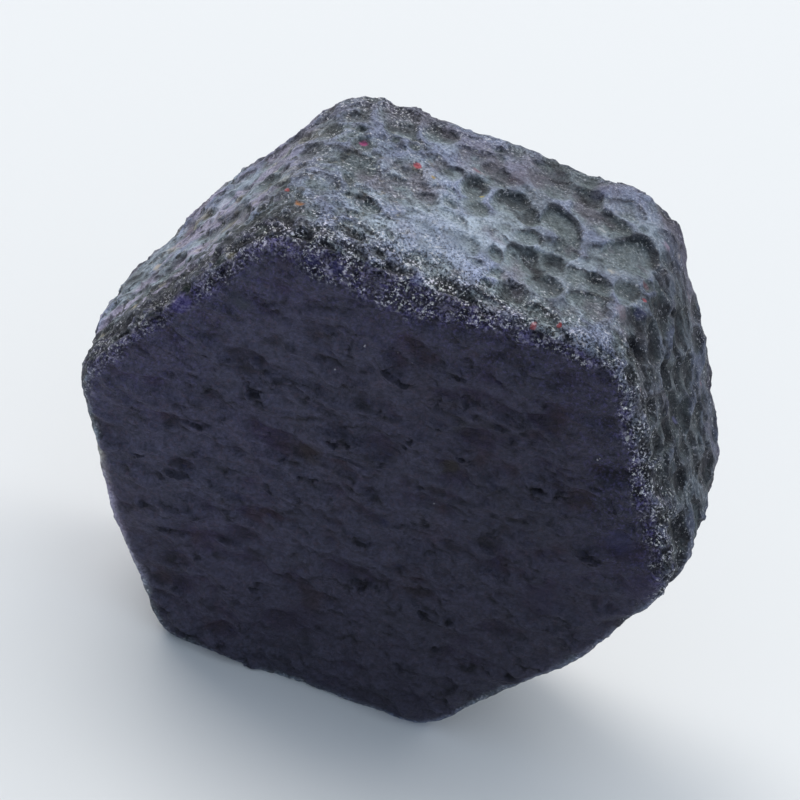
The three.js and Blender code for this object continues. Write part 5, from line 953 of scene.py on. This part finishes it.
def sapphire_finish():
    material = bpy.data.materials.new("sapphire")
    k = Nodes(material)
    at = k.add("ShaderNodeTexCoord").outputs["Object"]
    mm = k.vector("SCALE", at, scale=1000.0)  # positions in mm
    cavity, basal, left, band = (k.mask(n) for n in ("cavity", "basal", "left", "band"))
    rim, hollow, crease_shade, swell = (k.mask(n) for n in ("rim", "hollow", "crease_shade", "swell"))
    sink, crest, side, speckled = (k.mask(n) for n in ("sink", "crest", "side", "speckled"))
    fore, floor = k.mask("fore"), k.mask("floor")
    prism = k.maths("SUBTRACT", 1.0, basal)
    high = k.maths("SUBTRACT", 1.0, k.span(cavity, 0.05, 0.55))

    broad = k.noise(mm, 0.25, 2.0, 0.55)
    other = k.noise(k.vector("ADD", mm, (31.0, 7.0, 3.0)), 0.33, 3.0, 0.6)
    patch = k.noise(mm, 0.9, 4.0, 0.6)
    blot = k.noise(k.vector("ADD", mm, (5.0, 17.0, 43.0)), 1.7, 2.0, 0.6)
    fine_node = k.add("ShaderNodeTexNoise", {"Vector": mm, "Scale": 5.6, "Detail": 3.0, "Roughness": 0.68})
    fine, stray = fine_node.outputs["Fac"], fine_node.outputs["Color"]
    facets = k.add("ShaderNodeTexVoronoi", {"Vector": mm, "Scale": 7.0, "Randomness": 1.0}, feature="F1")
    parts = k.add("ShaderNodeSeparateColor", {0: facets.outputs["Color"]})
    pick, hue, turn = parts.outputs[0], parts.outputs[1], parts.outputs[2]

    def times(x, y, clamp=False):
        return k.maths("MULTIPLY", x, y, clamp=clamp)

    def shade(colour, amount):
        return k.mix(1.0, colour, k.add("ShaderNodeCombineColor", {0: amount, 1: amount, 2: amount}).outputs[0], "MULTIPLY")

    def near(x, y, z, outer, inner):
        return k.span(k.vector("DISTANCE", mm, (x, y, z)), outer, inner)

    # prism faces: grey-green dish floors, blue-grey and violet ridges between them
    grey = k.mix(k.span(patch, 0.36, 0.62), GREY_LOW, GREY_HIGH)
    grey = k.mix(times(k.span(cavity, 0.1, 0.75), 0.7), grey, GREY_FLOOR)
    grey = k.mix(times(times(k.span(broad, 0.42, 0.58), high), 0.70), grey, GREY_VIOLET)
    grey = k.mix(times(k.span(other, 0.52, 0.66), 0.50), grey, GREY_MAUVE)
    grey = k.mix(times(times(k.span(blot, 0.60, 0.70), left), 0.40), grey, OCHRE)
    # the left face: pale mauve-blue stretches, partly its colour and partly a painted sheen, and straw-coloured
    # stretches
    leftward = k.span(k.add("ShaderNodeSeparateXYZ", {0: mm}).outputs[0], -7.0, -11.0)
    streak = k.vector("MULTIPLY", mm, (0.45, 1.1, 0.45))
    grey = k.mix(times(times(k.span(k.noise(streak, 0.55, 3.0, 0.6), 0.46, 0.56), leftward), 0.75), grey, MAUVE_AND_SHEEN)
    grey = k.mix(times(times(k.span(k.noise(k.vector("ADD", streak, (9.0, 2.0, 6.0)), 0.65, 3.0, 0.6), 0.54, 0.64), leftward), 0.60), grey, STRAW)
    # and along its front edge it is nearly black and green
    outward = k.span(k.add("ShaderNodeSeparateXYZ", {0: mm}).outputs[0], -6.6, -9.2)
    uneven = k.maths("ADD", times(k.maths("SUBTRACT", patch, 0.5), 1.8), times(k.maths("SUBTRACT", blot, 0.5), 2.4))
    leaf = times(k.span(k.maths("ADD", fore, uneven), 0.25, 0.60), outward)
    leaf = times(leaf, k.span(k.add("ShaderNodeSeparateXYZ", {0: mm}).outputs[2], 9.0, 15.0, 0.15, 1.0))
    grey = k.mix(times(leaf, 0.92), grey, DARK_GREEN)
    # painted sheen: the left face away from its front edge is made paler
    grey = shade(grey, k.maths("ADD", 1.0, times(times(leftward, k.maths("SUBTRACT", 1.0, leaf)), 0.80)))
    # the right face: dark streaks that run down the slope
    run = k.noise(k.vector("MULTIPLY", mm, (0.30, 1.35, 0.30)), 0.95, 3.0, 0.62)
    grey = k.mix(times(times(k.span(run, 0.50, 0.60), side), 0.62), grey, DARK_STREAK_AND_SHADE)
    # wear and a painted highlight on the crests
    grey = k.mix(times(crest, k.maths("SUBTRACT", 0.30, times(side, 0.16))), grey, WEAR_AND_HIGHLIGHT_PRISM)
    # a painted sheen makes the smooth stretch in the middle of the upper face the palest, and painted shade makes the
    # side faces the darkest
    grey = shade(grey, k.maths("ADD", 0.83, times(near(*SHEEN_SPOT, 7.0, 1.0), 0.55)))
    grey = shade(grey, k.maths("SUBTRACT", 1.0, times(side, 0.49)))
    grey = k.mix(times(times(k.mask("aft"), k.span(other, 0.40, 0.56)), 0.55), grey, GREY_AFT)
    # basal faces: dark slate with violet, blue and brown stains
    slate = k.mix(k.span(patch, 0.38, 0.62), SLATE_LOW, SLATE_HIGH)
    slate = k.mix(times(k.span(broad, 0.42, 0.62), 0.75), slate, SLATE_VIOLET)
    slate = k.mix(times(k.span(other, 0.52, 0.63), 0.65), slate, SLATE_BROWN)
    slate = k.mix(times(k.span(blot, 0.60, 0.70), 0.45), slate, SLATE_BLUE)
    # painted light and shade on the hammered pads: the raised pads lighter, the low stretches darker
    slate = k.mix(times(k.span(swell, 0.42, 0.72), 0.75), slate, SLATE_SWELL_LIT)
    slate = shade(slate, k.span(swell, 0.25, 0.60, 0.70, 1.06))
    mottle = k.noise(k.vector("ADD", mm, (3.0, 14.0, 8.0)), 2.6, 4.0, 0.72)
    slate = shade(slate, k.span(mottle, 0.36, 0.64, 0.80, 1.22))
    slate = k.mix(times(k.span(k.noise(k.vector("ADD", mm, (21.0, 5.0, 17.0)), 4.2, 3.0, 0.7), 0.54, 0.64), 0.50), slate, SLATE_MAUVE)
    across = k.add("ShaderNodeSeparateXYZ", {0: mm}).outputs[0]
    # painted shade: the basal faces darker towards the right
    slate = shade(slate, k.span(across, -13.0, 8.0, 1.10, 0.63))
    # painted shade: the basal faces darker towards the foot
    slate = k.mix(times(k.span(k.add("ShaderNodeSeparateXYZ", {0: mm}).outputs[2], 12.0, 3.0), 0.30), slate, SLATE_FOOT_SHADE)
    colour = k.mix(basal, grey, slate)
    # painted shade along the steps, under the ledge lips and on the steep dish walls
    colour = k.mix(times(crease_shade, 0.90, clamp=True), colour, BLACK_CRACK_AND_SHADE)

    # the worn edges of the basal faces: granular, nearly black and deep blue-violet
    speck = k.noise(k.vector("ADD", mm, (2.0, 9.0, 4.0)), 5.0, 3.0, 0.75)
    deep = k.mix(k.span(k.maths("ADD", speck, times(k.maths("SUBTRACT", blot, 0.5), 0.9)), 0.44, 0.60), DEEP_LOW, DEEP_HIGH)
    deep = k.mix(times(k.span(k.noise(k.vector("ADD", mm, (13.0, 8.0, 2.0)), 2.3, 3.0, 0.65), 0.48, 0.60), 0.80), deep, DEEP_PALE)
    edging = times(band, k.span(k.maths("ADD", patch, times(blot, 0.5)), 0.58, 0.86, 0.10, 1.0))
    edging = times(edging, k.maths("ADD", 0.50, times(basal, 0.50)))
    colour = k.mix(times(edging, 0.85), colour, deep)

    # painted shade: in the pocks of the granular edge, in the slot pits, and in the hollows and sunken stretches, less
    # on the open dish floors
    hollow_shade = k.maths("MAXIMUM", times(hollow, 0.7), times(sink, 0.85), clamp=True)
    colour = k.mix(times(k.mask("pock"), 0.80), colour, BLACK_CRACK_AND_SHADE)
    colour = k.mix(times(k.mask("pit_shade"), 0.72), colour, DARK_STREAK_AND_SHADE)
    colour = k.mix(times(times(hollow_shade, k.maths("SUBTRACT", 1.0, times(floor, 0.60))), k.maths("ADD", 0.26, times(prism, k.maths("ADD", 0.50, times(side, 0.20))))), colour, DARK_STREAK_AND_SHADE)
    # the painted sheen on the smooth stretch of the upper face, once more over everything, so that it stays even
    colour = k.mix(times(times(near(*SHEEN_SPOT, 3.2, 0.8), prism), 0.45), colour, GREY_HIGH)
    # wear and a painted highlight on the convex rims
    wear_and_highlight = k.mix(basal, WEAR_AND_HIGHLIGHT_PRISM, WEAR_AND_HIGHLIGHT_BASAL)
    colour = k.mix(times(times(rim, k.maths("SUBTRACT", 1.0, times(side, 0.7))), k.maths("ADD", 0.22, times(basal, 0.12)), clamp=True), colour, wear_and_highlight)

    # short thin cracks along the basal faces
    strip = k.vector("MULTIPLY", mm, (0.60, 0.60, 1.6))
    vein = k.maths("ABSOLUTE", k.maths("SUBTRACT", k.noise(strip, 0.75, 2.5, 0.50), 0.5))
    torn = k.span(k.noise(k.vector("ADD", mm, (11.0, 3.0, 19.0)), 0.8, 2.0, 0.5), 0.52, 0.62)
    crack = times(times(k.span(vein, 0.016, 0.004), torn), basal)
    colour = k.mix(times(crack, 0.28), colour, BLACK_CRACK_AND_SHADE)

    calm = k.maths("SUBTRACT", 1.0, times(times(leftward, prism), 0.55))
    # grain: dark grains, and pale grains that are partly real and partly painted glints, strongest along the worn edges
    # and on the finely eaten stretch
    grainy = k.maths("ADD", times(band, 0.90), times(prism, k.maths("ADD", 0.34, times(left, 0.28))), clamp=True)
    grainy = times(k.maths("ADD", grainy, times(fore, 0.38), clamp=True), calm)
    flecks = k.noise(mm, 7.0, 2.0, 0.70)
    clumps = k.span(k.noise(k.vector("ADD", mm, (7.0, 1.0, 23.0)), 1.2, 3.0, 0.6), 0.42, 0.58, 0.12, 1.0)
    colour = k.mix(times(k.span(flecks, 0.50, 0.36), times(grainy, 0.9)), colour, BLACK_CRACK_AND_SHADE)
    grainy = times(grainy, k.maths("SUBTRACT", 1.0, times(times(leftward, basal), 0.5)))
    # pale grains, partly painted glints
    grain_glint = k.mix(hue, GRAIN_GLINT_GREEN, GRAIN_GLINT_VIOLET)
    glint = times(times(k.span(k.maths("ADD", flecks, times(band, 0.034)), 0.57, 0.65), clumps), grainy)
    colour = k.mix(times(glint, 0.88), colour, grain_glint)
    colour = k.mix(times(k.span(speck, 0.50, 0.62), times(times(speckled, basal), 0.40)), colour, DEEP_HIGH)
    colour = k.mix(times(k.span(flecks, 0.50, 0.38), times(speckled, 0.45)), colour, BLACK_CRACK_AND_SHADE)
    swing = times(k.maths("ADD", 0.30, times(fore, 0.25)), calm)
    swing = times(swing, k.maths("SUBTRACT", 1.0, times(near(*SHEEN_SPOT, 4.0, 1.5), 0.5)))
    colour = shade(colour, k.span(fine, 0.28, 0.72, k.maths("SUBTRACT", 1.02, swing), k.maths("ADD", 1.02, swing)))

    # single grains and stains
    ragged = k.vector("ADD", mm, k.vector("SCALE", k.vector("SUBTRACT", stray, (0.5, 0.5, 0.5)), scale=0.22))
    deepened = {0: (1, 1, 1), 1: (1, 0.2, 1), 2: (1, 1, 0.2)}
    flat = {axis: k.vector("MULTIPLY", ragged, scale) for axis, scale in deepened.items()}
    colour = k.mix(k.mask("stained"), colour, rgb(0, 0, 0))
    colour = k.mix(1.0, colour, k.add("ShaderNodeAttribute", attribute_name="stain").outputs["Color"], "ADD")
    for x, y, z, radius, tint, strength, axis in filter(is_grain, SPECKS):
        sx, sy, sz = deepened[axis]
        away = k.vector("DISTANCE", flat[axis], (x * sx, y * sy, z * sz))
        colour = k.mix(k.span(away, radius, radius * 0.5, 0.0, strength), colour, rgb(*tint))

    # every tiny grain leans its own way
    lean = k.vector("SUBTRACT", facets.outputs["Color"], (0.5, 0.5, 0.5))
    tilt = k.maths("ADD", times(grainy, 0.95), 0.06)
    height = k.maths("ADD", fine, times(k.noise(mm, 14.0, 1.0, 0.6), 0.30))
    bump = k.add("ShaderNodeBump", {"Strength": 0.9, "Distance": 0.00016, "Height": height})
    normal = k.vector("NORMALIZE", k.vector("ADD", bump.outputs[0], k.vector("SCALE", lean, scale=tilt)))

    rough = k.span(patch, 0.3, 0.7, 0.50, 0.64)
    rough = k.maths("SUBTRACT", rough, times(times(k.span(turn, 0.85, 0.95), grainy), 0.25))

    shader = k.add("ShaderNodeBsdfPrincipled", {
        "Base Color": colour, "Roughness": rough, "Normal": normal})
    shader.inputs["IOR"].default_value = 1.5
    shader.inputs["Specular IOR Level"].default_value = 0.30
    shader.inputs["Specular Tint"].default_value = rgb(0.90, 0.92, 1.0)
    out = k.add("ShaderNodeOutputMaterial")
    k.tree.links.new(shader.outputs[0], out.inputs[0])
    return material


lay_stains()
mesh.materials.clear()
mesh.materials.append(sapphire_finish())
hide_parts(NODE)
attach(crystal, "root")

# ------------------------------------------------------------------ floor, light, camera

floor_mesh = mesh_from("floor", np.array([(-2.0, -2.0, 0), (2.0, -2.0, 0), (2.0, 2.0, 0), (-2.0, 2.0, 0)]) + [0, 0, -0.00002],
                       np.array([(0, 1, 2), (0, 2, 3)]))
floor = collection_link(bpy.data.objects.new("floor", floor_mesh))
paper = bpy.data.materials.new("paper")
k = Nodes(paper)
shader = k.add("ShaderNodeBsdfPrincipled", {"Base Color": rgb(0.80, 0.82, 0.85), "Roughness": 0.9})
shader.inputs["Specular IOR Level"].default_value = 0.1
k.tree.links.new(shader.outputs[0], k.add("ShaderNodeOutputMaterial").inputs[0])
floor_mesh.materials.append(paper)


def softbox(name, azimuth, elevation, watts, size=1.05, away=2.0, colour=(1.0, 0.930, 0.830)):
    """A square soft light that faces the object. Azimuth runs anticlockwise from +X, in degrees."""
    light = bpy.data.lights.new(name, "AREA")
    light.shape = "SQUARE"
    light.size = size
    light.energy = watts
    light.color = colour
    obj = collection_link(bpy.data.objects.new(name, light))
    a, e = math.radians(azimuth), math.radians(elevation)
    way = Vector((math.cos(a) * math.cos(e), math.sin(a) * math.cos(e), math.sin(e)))
    obj.location = way * away + Vector((0, 0, 0.012))
    obj.rotation_mode = "QUATERNION"
    obj.rotation_quaternion = (-way).to_track_quat("-Z", "Y")
    obj.visible_camera = False
    return obj


softbox("window_left", 145, 48, 22.0, 1.2)
softbox("window_back", 95, 42, 4.5)
softbox("overhead", 75, 76, 4.5)
softbox("window_right", 40, 44, 6.0)

world = bpy.data.worlds.new("studio")
world.use_nodes = True
world.node_tree.nodes["Background"].inputs["Color"].default_value = (0.79, 0.91, 1.04, 1)
world.node_tree.nodes["Background"].inputs["Strength"].default_value = 0.55
bpy.context.scene.world = world
bpy.context.scene.view_settings.view_transform = "Standard"

# the photograph's view, in mm: elevation 36.8 degrees, azimuth 0.1, rolled 20.2 clockwise
elevation, azimuth, roll = math.radians(36.816), math.radians(0.131), math.radians(20.198)
back = Vector((math.sin(azimuth) * math.cos(elevation), -math.cos(azimuth) * math.cos(elevation), math.sin(elevation)))
level = Vector((math.cos(azimuth), math.sin(azimuth), 0))
rise = back.cross(level)
right = math.cos(roll) * level + math.sin(roll) * rise
up = -math.sin(roll) * level + math.cos(roll) * rise
lens = bpy.data.cameras.new("camera")
lens.sensor_width = 36.0
lens.lens = 3999.14 * 36.0 / 800
lens.clip_start, lens.clip_end = 0.01, 10
camera = collection_link(bpy.data.objects.new("camera", lens))
turn = Matrix((right, up, back)).transposed()
camera.matrix_world = Matrix.Translation(
    (Vector((-0.2776, -159.1066, 134.5869)) + Vector((OFFSET[0], OFFSET[1], -BED_DROP))) * MM) @ turn.to_4x4()
bpy.context.scene.camera = camera
